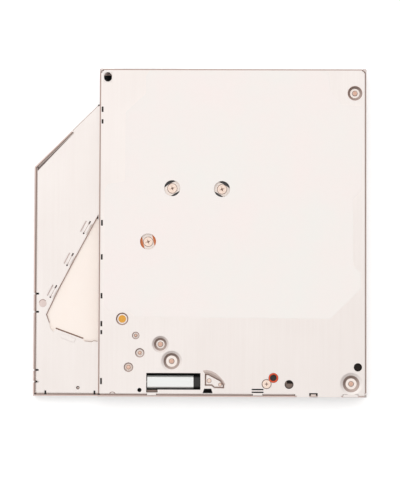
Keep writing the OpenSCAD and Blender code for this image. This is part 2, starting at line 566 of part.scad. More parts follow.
// Main slider: moulded bar with the rack, the traverse cam and the trigger pin
slider_z0 = 4.95;
slider_z1 = face_z - base_t - 0.15;
slider_y = [y_f + 5.5, y_f + 82];
cam_pin_r = 0.45;
cam_pin_at = [slider_x0 + slider_w / 2, spindle[1] - 1.4];
cam_arm = ((spindle[0] - cam_pin_at[0]) + (cam_pin_at[1] - spindle[1])) * cos(45) + hinge_u;
cam_low_z = 5.75;
cam_high_z = cam_low_z + cam_arm * sin(tilt);
rack_y = [rack_gear_at[1] - slider_travel - 3, rack_gear_at[1] + 3];
rack_x = rack_line_x - dedendum;
trigger_arm = trigger_at[0] - slider_x0 - slider_w / 2;
rack_pitch = PI * tooth_m;
module main_slider() color([0.2, 0.2, 0.21]) {
    difference() {
        box(slider_x0, slider_x0 + slider_w, slider_y[0], slider_y[1], slider_z0, slider_z1);
        hull() for (c = [[0, cam_high_z], [-slider_travel, cam_low_z]])
            translate([slider_x0 - 1, cam_pin_at[1] + c[0], c[1]]) rotate([0, 90, 0])
                cylinder(r = cam_pin_r + run_gap, h = slider_w + 2, $fn = 24);
        for (y = [12, 22, 56, 70]) box(slider_x0 + 0.8, slider_x0 + 3, y_f + y, y_f + y + 7,
            slider_z0 + 1, slider_z1 - 1);
    }
    box(slider_x0 + slider_w - eps, rack_x, rack_y[0], rack_y[1], top_gear_z - 0.1,
        top_gear_z + gear_t + 0.1);
    for (i = [-8:1]) translate([rack_line_x, rack_gear_at[1] + i * rack_pitch, top_gear_z - 0.1])
        linear_extrude(gear_t + 0.2) polygon([for (s = [-1, 1], d = [-dedendum - 0.05, addendum])
            let (u = s < 0 ? d : addendum - dedendum - 0.05 - d)
            [u, s * (rack_pitch / 4 - backlash / 4 - u * tan(pressure))]]);
    disc([trigger_at[0] - trigger_arm, trigger_at[1] - slider_travel / 2], 0.5, lever_z,
        slider_z0 + eps);
}

// Levers, each a sheet that turns on its post
trigger_angle = asin(slider_travel / 2 / trigger_arm);
module hinged_sheet(p, post_r = post_shank_r) difference() {
    children();
    disc(p, post_r + 0.06, 0, drive_h);
}
module trigger_lever() color([0.75, 0.76, 0.78]) at(trigger_at) rotate(trigger_angle)
    difference() {
        hinged_sheet([0, 0]) {
            disc([0, 0], 2.1, lever_z, lever_z + lever_t);
            strip([0, 0], [-trigger_arm, 0], 2.9, lever_z, lever_t);
            strip([0, 0.3], [0, 3.2], 2.6, lever_z, lever_t);
        }
        strip([-trigger_arm - 0.7, 0], [-trigger_arm + 0.7, 0], 1.3, lever_z - 1, 3);
    }
module switch_lever() color([0.7, 0.71, 0.74]) hinged_sheet(switch_at) {
    disc(switch_at, 1.7, lever_z, lever_z + lever_t);
    strip(switch_at, switch_at + [7, 0], 2, lever_z, lever_t);
    disc(switch_at + [7, 0], 0.7, lever_z, plate_z - 2.1);
}
roller_r = 1.5;
pin_r = 0.6;
front_tip = front_lever_at + [-14.1, 13.9];
eject_tip = eject_lever_at + [-39.6, 4.8];
side_tip = side_lever_at + [-18.1, -51];
module roller(p) ring(p, roller_r, pin_r + 0.06, 1.4, lever_z - 0.1);
module tip_pin(p) disc(p, pin_r, 1.2, lever_z + lever_t);
module front_lever() color([0.75, 0.76, 0.78]) {
    hinged_sheet(front_lever_at) {
        disc(front_lever_at, 2.6, lever_z, lever_z + lever_t);
        strip(front_lever_at, front_tip, 3.4, lever_z, lever_t);
    }
    tip_pin(front_tip);
}
module front_lever_roller() color([0.92, 0.92, 0.9]) roller(front_tip);
module eject_lever() color([0.75, 0.76, 0.78]) {
    hinged_sheet(eject_lever_at) {
        disc(eject_lever_at, 3, lever_z, lever_z + lever_t);
        strip(eject_lever_at, eject_tip, 4.6, lever_z, lever_t);
    }
    tip_pin(eject_tip);
}
module eject_lever_pad() color([0.92, 0.92, 0.9]) roller(eject_tip);
side_outline = shifted([[5.8, 76.5], [0.5, 77], [-2.5, 69], [-16.6, 42], [-21.4, 31.6],
    [-20.3, 27], [-19, 24], [-17.3, 23.6], [-17.2, 22.4], [-14.8, 18.9], [-10, 18.6],
    [-7.2, 21.2], [-6.4, 20.8], [-5.8, 19.9], [0.6, 20.1], [2.5, 24],
    [9, 71]], front_left);
module side_lever() color([0.99, 0.94, 0.9]) {
    hinged_sheet(side_lever_at) difference() {
        plate(rounded(side_outline, 0.8, 3), lever_z, side_t);
        at(front_left + [-11.7, 22.9]) rotate(-20.1) translate([-5.2, -0.5, 0]) cube([10.4, 1, 9]);
    }
    tip_pin(side_tip);
}
module side_lever_roller() color([0.92, 0.92, 0.9]) roller(side_tip);
module lever_springs() color([0.6, 0.6, 0.62])
    for (p = [switch_at, front_lever_at, eject_lever_at])
        ring(p, lever_post_r + 0.55, lever_post_r + 0.15, lever_z + lever_t + 0.3, plate_z - 1.6);

// Traverse: the unit that carries the disc motor and the pickup. Its own axes are u, from the
// spindle to the front right, and n across, and it hangs tilted by the drop at the hinge.
module on_traverse() translate([spindle[0], spindle[1], 0]) rotate(diagonal)
    translate([hinge_u, 0, hinge_z]) rotate([0, tilt, 0]) translate([-hinge_u, 0, -hinge_z])
        children();
frame_z = 4.6;
frame_top = frame_z + frame_h;
frame_r = screw_circle_r + 4;
frame_n = 21;
opening_r = seat_r + 1;
rail_n = 14;
rail_z = frame_z + 1.5;
carriage_u = 14;
window_u = [lens_in - carriage_u / 2 - 1, lens_in + feed_travel + carriage_u / 2 + 1];
frame_end = window_u[1] + 3;
window_n = rail_n + 2;
insulator_r = 2.6;
neck_r = 1.9;
pin_core_r = 1.32;
insulators_at = [[hinge_u, -insulator_n], [hinge_u, insulator_n + 5.8]];
bracket_t = 0.4;
bracket_z = frame_top;
ear_r = 3.4;
feed_z = frame_z + 1.5;
feed_motor_w = 4;
journal_r = 0.45;
feed_n = rail_n + 1.9 + feed_motor_w / 2;
feed_cut_u = [opening_r - 0.2, window_u[1]];
feed_motor_u = [feed_cut_u[1] - 11, feed_cut_u[1] - 0.2];
function local(a) = screw_angles[a] - diagonal;
module frame_plan() {
    circle(frame_r);
    polygon(rounded([[0, -frame_n - 1.2], [64.5, -frame_n - 1.2],
        [67.6, -17.2], [frame_end, -14], [frame_end, 16], [68.4, 20], [66.8, 21.6], [64, frame_n + 4.5],
        [62, frame_n + 6.5], [59.5, frame_n + 6.5], [55, frame_n + 1.6], [0, frame_n + 1.6]], 1.2));
}
module traverse_frame() color([0.3, 0.3, 0.32]) on_traverse() {
    difference() {
        union() {
            translate([0, 0, frame_z]) linear_extrude(frame_h) frame_plan();
            rotate(-diagonal) translate([cam_pin_at[0] + slider_w / 2 + 0.5 - spindle[0], -3.4,
                frame_z]) cube([16, 4, frame_h]);
        }
        translate([0, 0, frame_z - 1]) cylinder(r = opening_r, h = frame_h + 2);
        translate([window_u[0], -window_n, frame_z - 1])
            cube([window_u[1] - window_u[0], 2 * window_n, frame_h + 2]);
        translate([feed_cut_u[0], feed_n - feed_motor_w / 2 - 0.15, frame_z - 1])
            cube([feed_cut_u[1] - feed_cut_u[0], feed_motor_w + 0.3, frame_h + 2]);
        for (p = insulators_at) at(p) {
            cylinder(r = neck_r + 0.02, h = drive_h);
            translate([-neck_r - 0.02, p[1] < 0 ? -9 : 0, 0])
                cube([2 * neck_r + 0.04, 9, drive_h]);
        }
        for (a = [0:2]) rotate(local(a)) translate([screw_circle_r, 0, frame_z - 1])
            cylinder(r = 0.6, h = drive_h);
        for (s = [-1, 1]) translate([window_u[0] - 1.6, s * rail_n, rail_z]) rotate([0, 90, 0])
            cylinder(r = rail_r + 0.02, h = window_u[1] - window_u[0] + 3.2);
        for (s = [-1, 1]) translate([window_u[0] - 1.6, s * rail_n - rail_r - 0.02, rail_z])
            cube([window_u[1] - window_u[0] + 3.2, 2 * rail_r + 0.04, 9]);
    }
    rotate(-diagonal) translate([cam_pin_at[0] - slider_w / 2 - spindle[0],
        cam_pin_at[1] - spindle[1], cam_low_z]) rotate([0, 90, 0])
            cylinder(r = cam_pin_r, h = slider_w + 1);
    for (rib = [[window_u[0] - 0.8, 0], [window_u[1] - 0.3, 0.9]])
        translate([rib[0], -12, frame_z]) cube([1.2, 24, frame_h + rib[1]]);
}
module insulators() color([0.85, 0.3, 0.18]) on_traverse() for (p = insulators_at)
    at(p) rotate_extrude() polygon([[pin_core_r, frame_z - 0.4],
        [insulator_r - 0.4, frame_z - 0.4], [insulator_r, frame_z - 0.02], [neck_r, frame_z - 0.02],
        [neck_r, frame_top + 0.02], [insulator_r, frame_top + 0.02], [insulator_r, frame_top + 0.8],
        [1.85, frame_top + 1.5], [1.85, plate_z - 0.25], [pin_core_r, plate_z - 0.25]]);
module insulator_pins() color([0.1, 0.1, 0.1]) for (p = insulators_at)
    at(spindle + turned(p, diagonal)) {
        cylinder_z(1.15, frame_z - 0.3, plate_z - 0.15);
        if (p[1] > 0) cylinder_z(2.2, plate_z - 0.15, plate_z);
        else difference() {
            cylinder_z(1.15, plate_z - 0.15, plate_z + 0.2);
            cylinder_z(0.6, plate_z, drive_h);
        }
        if (p[1] < 0) translate([-3.6, -0.5, plate_z - 0.15]) cube([3, 1, 0.15]);
    }
module cylinder_z(r, z0, z1) translate([0, 0, z0]) cylinder(r = r, h = z1 - z0);

// Spindle motor
bearing_r = 2.2;
rotor_r = seat_r - 0.7;
seat_z = 2.9;
module spindle_bracket() color([0.88, 0.86, 0.85]) on_traverse() difference() {
    union() {
        cylinder_z(opening_r + 1, bracket_z, bracket_z + bracket_t);
        for (a = [0:2]) rotate(local(a)) {
            translate([screw_circle_r, 0, bracket_z]) cylinder(r = ear_r, h = bracket_t);
            translate([0, -ear_r, bracket_z]) cube([screw_circle_r, 2 * ear_r, bracket_t]);
        }
    }
    cylinder_z(bearing_r, bracket_z - 1, drive_h);
    for (a = [0:2]) rotate(local(a)) translate([screw_circle_r, 0, 0])
        cylinder(r = 0.75, h = drive_h);
}
module motor_flex() color([0.75, 0.3, 0.12]) on_traverse() difference() {
    cylinder_z(screw_circle_r - 2.65, bracket_z + bracket_t, bracket_z + bracket_t + 0.15);
    cylinder_z(bearing_r + 0.8, bracket_z, drive_h);
}
module bracket_screws() color([0.93, 0.93, 0.93]) on_traverse() for (a = [0:2]) rotate(local(a))
    translate([screw_circle_r, 0, bracket_z + bracket_t + 0.35]) rotate(-local(a) - diagonal + 20)
        flat_screw(1.75, 0.35, 0.6, 1.9);
module spindle_bearing() color([0.8, 0.65, 0.35]) on_traverse() difference() {
    cylinder_z(bearing_r, 4.1, bracket_z + bracket_t + 0.1);
    cylinder_z(shaft_r + 0.04, 0, bracket_z + bracket_t - 0.15);
}
module spindle_stator() color([0.7, 0.4, 0.2]) on_traverse() difference() {
    union() {
        cylinder_z(5, 4.3, 5.7);
        for (a = [0:40:320]) rotate(a) {
            translate([4, -0.7, 4.5]) cube([rotor_r - 6.8, 1.4, 1]);
            translate([5.6, -1.2, 4.3]) cube([3.4, 2.4, 1.4]);
            intersection() {
                ring([0, 0], rotor_r - 2, rotor_r - 3, 4.5, 5.5);
                translate([8, -2.9, 4]) cube([5, 5.8, 2]);
            }
        }
        cylinder_z(3.2, 5.7 - eps, bracket_z);
    }
    cylinder_z(bearing_r, 0, drive_h);
}
module spindle_rotor() color([0.78, 0.78, 0.8]) on_traverse() difference() {
    union() {
        cylinder_z(rotor_r, seat_z + 0.3, 5.9);
        cylinder_z(3, seat_z, seat_z + 0.4);
    }
    translate([0, 0, seat_z + 0.75]) cylinder(r = rotor_r - 0.5, h = 5);
    cylinder_z(shaft_r, 0, drive_h);
}
module rotor_magnet() color([0.25, 0.25, 0.27]) on_traverse()
    ring([0, 0], rotor_r - 0.5, rotor_r - 1.5, seat_z + 0.8, 5.8);
module spindle_shaft() color([0.85, 0.85, 0.87]) on_traverse()
    cylinder_z(shaft_r, 2.1, bracket_z + bracket_t - 0.2);
module turntable_pad() color([0.1, 0.1, 0.1]) on_traverse()
    ring([0, 0], seat_r - 0.8, seat_r - 4, seat_z, seat_z + 0.3);
module chuck_hub() color([0.9, 0.9, 0.88]) on_traverse() difference() {
    rotate_extrude() polygon([[shaft_r, 1.7], [hub_r - 1.2, 1.7], [hub_r, 2.3], [hub_r, seat_z],
        [seat_r - 4.1, seat_z], [seat_r - 4.1, seat_z + 0.3], [3, seat_z + 0.3], [3, seat_z],
        [shaft_r, seat_z]]);
    for (a = [0:120:240]) rotate(a) translate([hub_r - 2.6, -1.5, 1]) cube([4, 3, seat_z - 1]);
}
module chuck_claws() color([0.95, 0.95, 0.93]) on_traverse() for (a = [0:120:240]) rotate(a)
    difference() {
        translate([hub_r - 2.5, -1.35, 1.85]) cube([2.8, 2.7, seat_z - 1.85]);
        translate([hub_r + 0.1, -2, 1.3]) rotate([0, -35, 0]) cube([2, 4, 1.1]);
    }

// Pickup with its lens, and the feed drive
lens_z = 4.05;
module at_lens() on_traverse() translate([lens_in, 0, 0]) children();
module pickup_body() color([0.55, 0.56, 0.58]) at_lens() difference() {
    union() {
        translate([-carriage_u / 2, -11, frame_z + 0.3]) cube([carriage_u, 22, 2.2]);
        for (s = [-1, 1]) translate([-carriage_u / 2 + 1, s > 0 ? 10.9 : -rail_n - 1.6,
            rail_z - 1.2]) cube([carriage_u - 2, rail_n - 9.3, 2.5]);
        translate([-carriage_u / 2, rail_n - 0.5, feed_z - 0.6])
            cube([2.4, feed_n - feed_screw_r - 0.08 - rail_n + 0.5, 1.2]);
    }
    for (s = [-1, 1]) translate([-9, s * rail_n, rail_z]) rotate([0, 90, 0])
        cylinder(r = rail_r + 0.05, h = 18);
    translate([-4.4, -6.4, 0]) cube([8.8, 12.8, drive_h]);
}
module pickup_cover() color([0.8, 0.8, 0.82]) at_lens() difference() {
    translate([-carriage_u / 2 + 0.4, -10.4, frame_z + 0.05]) cube([carriage_u - 0.8, 20.8, 0.25]);
    translate([-4.2, -6.2, 0]) cube([8.4, 12.4, drive_h]);
}
module lens_holder() color([0.1, 0.1, 0.1]) at_lens() difference() {
    union() {
        translate([-3, -3.4, 4.5]) cube([6, 6.8, 1.6]);
        cylinder_z(2.6, 4.2, 4.6);
    }
    cylinder_z(2, 0, drive_h);
}
module objective_lens() color([0.75, 0.85, 0.95]) at_lens() rotate_extrude()
    polygon(concat([[0, 4.9]], [[2, 4.9], [2, 4.45]], [for (a = [60:-12:0])
        [1.75 * sin(a) / sin(60), 4.45 - 0.35 * (cos(a) - 0.5) / 0.5]]));
module focus_magnets() color([0.3, 0.3, 0.32]) at_lens() for (s = [-1, 1])
    translate([-2.6, s * 5.4 - 0.9, 4.9]) cube([5.2, 1.8, 2.2]);
module feed_motor() color([0.82, 0.82, 0.84]) on_traverse() difference() {
    translate([feed_motor_u[0], feed_n, feed_z]) rotate([90, 0, 90])
        linear_extrude(feed_motor_u[1] - feed_motor_u[0]) can_section(feed_motor_w, 3.6, 2.4);
    translate([feed_motor_u[0] - 1, feed_n, feed_z]) rotate([0, 90, 0])
        cylinder(r = journal_r + 0.05, h = 4);
}
module lead_screw() color([0.8, 0.8, 0.83]) on_traverse()
    translate([feed_cut_u[0] + 0.2, feed_n, feed_z]) rotate([0, 90, 0]) {
        cylinder(r = journal_r, h = feed_motor_u[0] - feed_cut_u[0] + 1.8);
        translate([0, 0, 1.8]) cylinder(r = feed_screw_r,
            h = feed_motor_u[0] - feed_cut_u[0] - 2.2);
    }
module screw_bearings() color([0.15, 0.15, 0.16]) on_traverse() difference() {
    translate([feed_cut_u[0], feed_n - 1.5, frame_z]) cube([1.5, 3, frame_h + 0.9]);
    translate([feed_cut_u[0] - 1, feed_n, feed_z]) rotate([0, 90, 0])
        cylinder(r = journal_r + 0.05, h = 4);
}
module guide_rails() color([0.85, 0.86, 0.88]) on_traverse() for (s = [-1, 1])
    translate([window_u[0] - 1.5, s * rail_n, rail_z]) rotate([0, 90, 0])
        cylinder(r = rail_r, h = window_u[1] - window_u[0] + 3);
module rail_clips() color([0.82, 0.82, 0.84]) on_traverse()
    for (s = [-1, 1], u = [window_u[0] - 1.4, window_u[1] + 0.2])
        translate([u, s * rail_n - 1.6, rail_z + rail_r + 0.03]) cube([1.2, 3.2, 0.4]);

base_chassis();
top_cover();
cover_screws();
label_sheet();
felt_lips();
slot_guide();
front_screw();
main_board();
controller_chip();
driver_chips();
board_connectors();
sata_connector();
sata_contacts();
detect_switch();
loading_motor();
motor_end_cap();
worm();
worm_bearing();
worm_wheel();
first_gear();
second_gear();
rack_gear();
rack_gear_bush();
gear_posts();
lever_posts();
post_rings();
main_slider();
side_lever();
side_lever_roller();
trigger_lever();
switch_lever();
front_lever();
front_lever_roller();
eject_lever();
eject_lever_pad();
lever_springs();
traverse_frame();
insulators();
insulator_pins();
spindle_bracket();
motor_flex();
bracket_screws();
spindle_bearing();
spindle_stator();
spindle_rotor();
rotor_magnet();
spindle_shaft();
turntable_pad();
chuck_hub();
chuck_claws();
pickup_body();
pickup_cover();
lens_holder();
objective_lens();
focus_magnets();
feed_motor();
lead_screw();
screw_bearings();
guide_rails();
rail_clips();
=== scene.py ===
"""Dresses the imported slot-loading disc writer and sets it on a pale floor under soft light.

The drive lies on its top cover, with its base sheet and bare label facing up. Each sub-assembly
is a class that models its own small pieces and gives the CAD nodes that belong to it a finish.
All sizes are in metres unless a name says otherwise.
"""
import logging
import math
from dataclasses import dataclass, field, replace
from enum import Enum
from functools import cache

import bmesh
import bpy
from mathutils import Matrix, Vector


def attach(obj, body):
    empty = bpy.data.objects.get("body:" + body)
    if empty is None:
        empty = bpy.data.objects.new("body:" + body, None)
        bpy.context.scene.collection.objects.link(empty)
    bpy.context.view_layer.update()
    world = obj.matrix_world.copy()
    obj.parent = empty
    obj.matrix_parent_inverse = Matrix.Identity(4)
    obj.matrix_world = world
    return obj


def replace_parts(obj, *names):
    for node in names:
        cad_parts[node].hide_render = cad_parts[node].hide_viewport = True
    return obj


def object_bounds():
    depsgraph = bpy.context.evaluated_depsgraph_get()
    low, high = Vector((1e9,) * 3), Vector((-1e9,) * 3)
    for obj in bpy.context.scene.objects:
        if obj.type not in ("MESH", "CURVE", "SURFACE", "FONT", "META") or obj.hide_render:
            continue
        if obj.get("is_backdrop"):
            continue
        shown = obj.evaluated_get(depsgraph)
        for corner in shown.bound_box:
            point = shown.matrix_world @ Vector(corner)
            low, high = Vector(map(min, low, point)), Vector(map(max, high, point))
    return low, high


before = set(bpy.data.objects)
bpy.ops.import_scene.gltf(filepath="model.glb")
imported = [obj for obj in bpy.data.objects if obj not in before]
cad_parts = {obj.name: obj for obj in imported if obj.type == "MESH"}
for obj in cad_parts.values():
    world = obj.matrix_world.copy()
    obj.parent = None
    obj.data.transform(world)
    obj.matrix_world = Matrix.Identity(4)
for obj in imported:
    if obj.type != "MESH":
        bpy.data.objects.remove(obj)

log = logging.getLogger("disc_writer")
MM = 0.001
Point = tuple[float, float, float]
Spot = tuple[float, float]

SPINDLE = (-1.27, 0.40)
FRONT_LEFT = (-38.7, -63.05)
DIAGONAL = -45.0
HINGE = (60.7, 5.6)
REST_TILT = 1.416
FACE = 9.42
WING_FACE = 5.3
FULL_TURN = 6.283


class Surface(Enum):
    """How a finish breaks up its colour."""

    BRUSHED = "brushed"
    MOULDED = "moulded"
    PAPER = "paper"
    FIBRE = "fibre"
    BOARD = "board"
    FILM = "film"
    WOUND = "wound"
    TURNED = "turned"
    GLASS = "glass"


def linear(rgb: tuple[int, int, int]) -> tuple[float, float, float, float]:
    """Turns a colour as seen on a screen into the linear colour of a shader.

    Args:
        rgb: red, green and blue, 0 to 255.

    Returns:
        The linear red, green and blue, and an alpha of 1.
    """
    def one(c: int) -> float:
        """The linear value of one channel."""
        v = c / 255
        return v / 12.92 if v <= 0.04045 else ((v + 0.055) / 1.055) ** 2.4

    return (one(rgb[0]), one(rgb[1]), one(rgb[2]), 1.0)


def traverse_place() -> Matrix:
    """The place of the traverse's own axes (u, n, z) at rest, as part.scad has it.

    Returns:
        The matrix that takes a point in the traverse's axes, in metres, to the row frame.
    """
    hinge = Vector((HINGE[0] * MM, 0, HINGE[1] * MM))
    return (Matrix.Translation((SPINDLE[0] * MM, SPINDLE[1] * MM, 0))
            @ Matrix.Rotation(math.radians(DIAGONAL), 4, "Z")
            @ Matrix.Translation(hinge)
            @ Matrix.Rotation(math.radians(REST_TILT), 4, "Y")
            @ Matrix.Translation(-hinge))


class NodeTree:
    """Adds shader nodes to a material or a group in few words."""

    def __init__(self, tree: bpy.types.NodeTree) -> None:
        """Keeps the tree that nodes are added to."""
        self.tree = tree

    def add(self, kind: str, values: dict | None = None, **settings) -> bpy.types.Node:
        """Adds one node.

        Args:
            kind: the node's type, without its ShaderNode prefix.
            values: input sockets' numbers, colours or links, by name or index.
            settings: the node's own properties.

        Returns:
            The new node.
        """
        node = self.tree.nodes.new(kind if kind.startswith("Node") else "ShaderNode" + kind)
        for key, value in settings.items():
            setattr(node, key, value)
        for key, value in (values or {}).items():
            if isinstance(value, bpy.types.NodeSocket):
                self.tree.links.new(value, node.inputs[key])
            else:
                node.inputs[key].default_value = value
        return node

    def noise(self, vector: bpy.types.NodeSocket, scale: float | bpy.types.NodeSocket,
              detail: float = 3.0, rough: float = 0.55) -> bpy.types.NodeSocket:
        """The grey value of a noise over the given coordinates."""
        return self.add("TexNoise", {"Vector": vector, "Scale": scale, "Detail": detail,
                                     "Roughness": rough}).outputs["Fac"]

    def scaled(self, vector: bpy.types.NodeSocket, scale: Point) -> bpy.types.NodeSocket:
        """The coordinates stretched by a factor for each axis."""
        return self.add("Mapping", {"Vector": vector, "Scale": scale}).outputs["Vector"]

    def sum_of(self, kind: str, a, b) -> bpy.types.NodeSocket:
        """The result of one arithmetic node on two values or sockets."""
        return self.add("Math", {0: a, 1: b}, operation=kind).outputs[0]

    def span(self, value: bpy.types.NodeSocket, low: float, high: float,
             out_low, out_high) -> bpy.types.NodeSocket:
        """The value taken from one range to another, kept within the second."""
        return self.add("MapRange", {"Value": value, "From Min": low, "From Max": high,
                                     "To Min": out_low, "To Max": out_high}).outputs["Result"]

    def mix(self, amount, a, b) -> bpy.types.NodeSocket:
        """The colour between two colours or colour sockets."""
        return self.add("Mix", {0: amount, 6: a, 7: b}, data_type="RGBA").outputs[2]


def fresh_tree(owner) -> NodeTree:
    """Turns on the nodes of a material or a world, and clears them.

    Args:
        owner: the material or world.

    Returns:
        Its empty tree.
    """
    owner.use_nodes = True
    owner.node_tree.nodes.clear()
    return NodeTree(owner.node_tree)


def placed(name: str, data) -> bpy.types.Object:
    """Puts a mesh, lamp or camera in the scene.

    Args:
        name: the new object's name.
        data: what it shows.

    Returns:
        The object, at the origin.
    """
    made = bpy.data.objects.new(name, data)
    bpy.context.scene.collection.objects.link(made)
    return made


class Effects:
    """The shared surface effects, each built once as a node group."""

    def group(self, name: str, inputs: dict[str, float]) -> tuple[NodeTree, dict, bpy.types.Node]:
        """Starts a group with a Vector input, number inputs, and a Tone and a Height output.

        Args:
            name: the group's name.
            inputs: the number inputs and what each is if nothing sets it.

        Returns:
            The group's tree, its input sockets by name, and its output node.
        """
        data = bpy.data.node_groups.new(name, "ShaderNodeTree")
        data.interface.new_socket("Vector", in_out="INPUT", socket_type="NodeSocketVector")
        for key, value in inputs.items():
            data.interface.new_socket(key, in_out="INPUT",
                                      socket_type="NodeSocketFloat").default_value = value
        for key in ("Tone", "Height"):
            data.interface.new_socket(key, in_out="OUTPUT", socket_type="NodeSocketFloat")
        tree = NodeTree(data)
        sockets = {s.name: s for s in tree.add("NodeGroupInput").outputs}
        return tree, sockets, tree.add("NodeGroupOutput")

    def close(self, tree: NodeTree, out: bpy.types.Node, tone, height) -> bpy.types.ShaderNodeTree:
        """Links a group's two results and returns the group."""
        tree.tree.links.new(tone, out.inputs["Tone"])
        tree.tree.links.new(height, out.inputs["Height"])
        return tree.tree

    @cache
    def grain(self) -> bpy.types.ShaderNodeTree:
        """Long fine scratches along Y, as a sheet has after brushing or rolling."""
        t, i, out = self.group("long grain", {"Across": 5200.0, "Along": 70.0, "Breaks": 0.35})
        stretch = t.add("CombineXYZ", {0: i["Across"], 1: i["Along"], 2: i["Across"]}).outputs[0]
        lines = t.add("VectorMath", {0: i["Vector"], 1: stretch}, operation="MULTIPLY").outputs[0]
        fine = t.noise(lines, 1.0, 4.0, 0.6)
        coarse = t.noise(lines, 0.22, 2.0)
        patches = t.noise(i["Vector"], 45.0, 2.0)
        both = t.sum_of("ADD", t.sum_of("MULTIPLY", fine, 0.65), t.sum_of("MULTIPLY", coarse, 0.35))
        faded = t.sum_of("MULTIPLY", patches, i["Breaks"])
        tone = t.sum_of("ADD", t.sum_of("SUBTRACT", both, faded),
                        t.sum_of("MULTIPLY", i["Breaks"], 0.5))
        return self.close(t, out, tone, both)

    @cache
    def skin(self) -> bpy.types.ShaderNodeTree:
        """The fine sparked skin and slow flow shading of a moulded piece."""
        t, i, out = self.group("moulded skin", {"Grit": 3500.0, "Flow": 130.0})
        grit = t.noise(i["Vector"], i["Grit"], 2.0)
        flow = t.noise(i["Vector"], i["Flow"], 3.0)
        tone = t.sum_of("ADD", t.sum_of("MULTIPLY", grit, 0.4), t.sum_of("MULTIPLY", flow, 0.6))
        return self.close(t, out, tone, grit)

    @cache
    def wear(self) -> bpy.types.ShaderNodeTree:
        """Soft handling smudges, with a few fine specks of dust."""
        t, i, out = self.group("handling wear", {"Size": 38.0, "Specks": 900.0})
        cloud = t.noise(i["Vector"], i["Size"], 5.0, 0.62)
        cell = t.add("TexVoronoi", {"Vector": i["Vector"], "Scale": i["Specks"]})
        speck = t.span(cell.outputs["Distance"], 0.05, 0.12, 1.0, 0.0)
        sparse = t.span(t.noise(i["Vector"], 160.0), 0.62, 0.66, 0.0, 1.0)
        return self.close(t, out, t.span(cloud, 0.35, 0.72, 0.0, 1.0),
                          t.sum_of("MULTIPLY", speck, sparse))

    @cache
    def traces(self) -> bpy.types.ShaderNodeTree:
        """Parallel copper tracks under a solder mask, running one way or the other in blocks."""
        t, i, out = self.group("copper tracks", {"Pitch": 1200.0, "Blocks": 130.0})
        cut = t.add("SeparateXYZ", {0: i["Vector"]}).outputs
        block = t.add("TexVoronoi", {"Vector": i["Vector"], "Scale": i["Blocks"]},
                      distance="CHEBYCHEV").outputs["Color"]
        pick = t.sum_of("GREATER_THAN", t.add("SeparateXYZ", {0: block}).outputs[0], 0.5)
        along = t.add("Mix", {0: pick, 2: cut[0], 3: cut[1]}, data_type="FLOAT").outputs[0]
        rate = t.sum_of("MULTIPLY", i["Pitch"], FULL_TURN)
        wave = t.sum_of("SINE", t.sum_of("MULTIPLY", along, rate), 0.0)
        track = t.span(wave, 0.1, 0.35, 0.0, 1.0)
        quiet = t.span(t.add("SeparateXYZ", {0: block}).outputs[1], 0.45, 0.5, 0.0, 1.0)
        return self.close(t, out, t.sum_of("MULTIPLY", track, quiet), track)

    @cache
    def fibres(self) -> bpy.types.ShaderNodeTree:
        """Short crossed fibres, as in felt."""
        t, i, out = self.group("crossed fibres", {"Fine": 2600.0, "Pile": 700.0})
        a = t.noise(t.scaled(i["Vector"], (1.0, 0.25, 1.0)), i["Fine"], 3.0)
        b = t.noise(t.scaled(i["Vector"], (0.3, 1.0, 0.8)), i["Pile"], 4.0)
        tone = t.sum_of("MULTIPLY", t.sum_of("ADD", a, b), 0.5)
        return self.close(t, out, tone, b)

    @cache
    def turning(self) -> bpy.types.ShaderNodeTree:
        """Fine rings round the piece's own Z axis, as a lathe leaves."""
        t, i, out = self.group("lathe rings", {"Rings": 5000.0, "Flutter": 0.3})
        flat = t.add("VectorMath", {0: i["Vector"], 1: (1.0, 1.0, 0.0)},
                     operation="MULTIPLY").outputs[0]
        reach = t.add("VectorMath", {0: flat}, operation="LENGTH").outputs[1]
        ring = t.sum_of("SINE", t.sum_of("MULTIPLY", reach, i["Rings"]), 0.0)
        noise = t.noise(i["Vector"], 300.0)
        tone = t.sum_of("ADD", t.span(ring, -1.0, 1.0, 0.3, 0.7),
                        t.sum_of("MULTIPLY", t.sum_of("SUBTRACT", noise, 0.5), i["Flutter"]))
        return self.close(t, out, tone, ring)


EFFECTS = Effects()


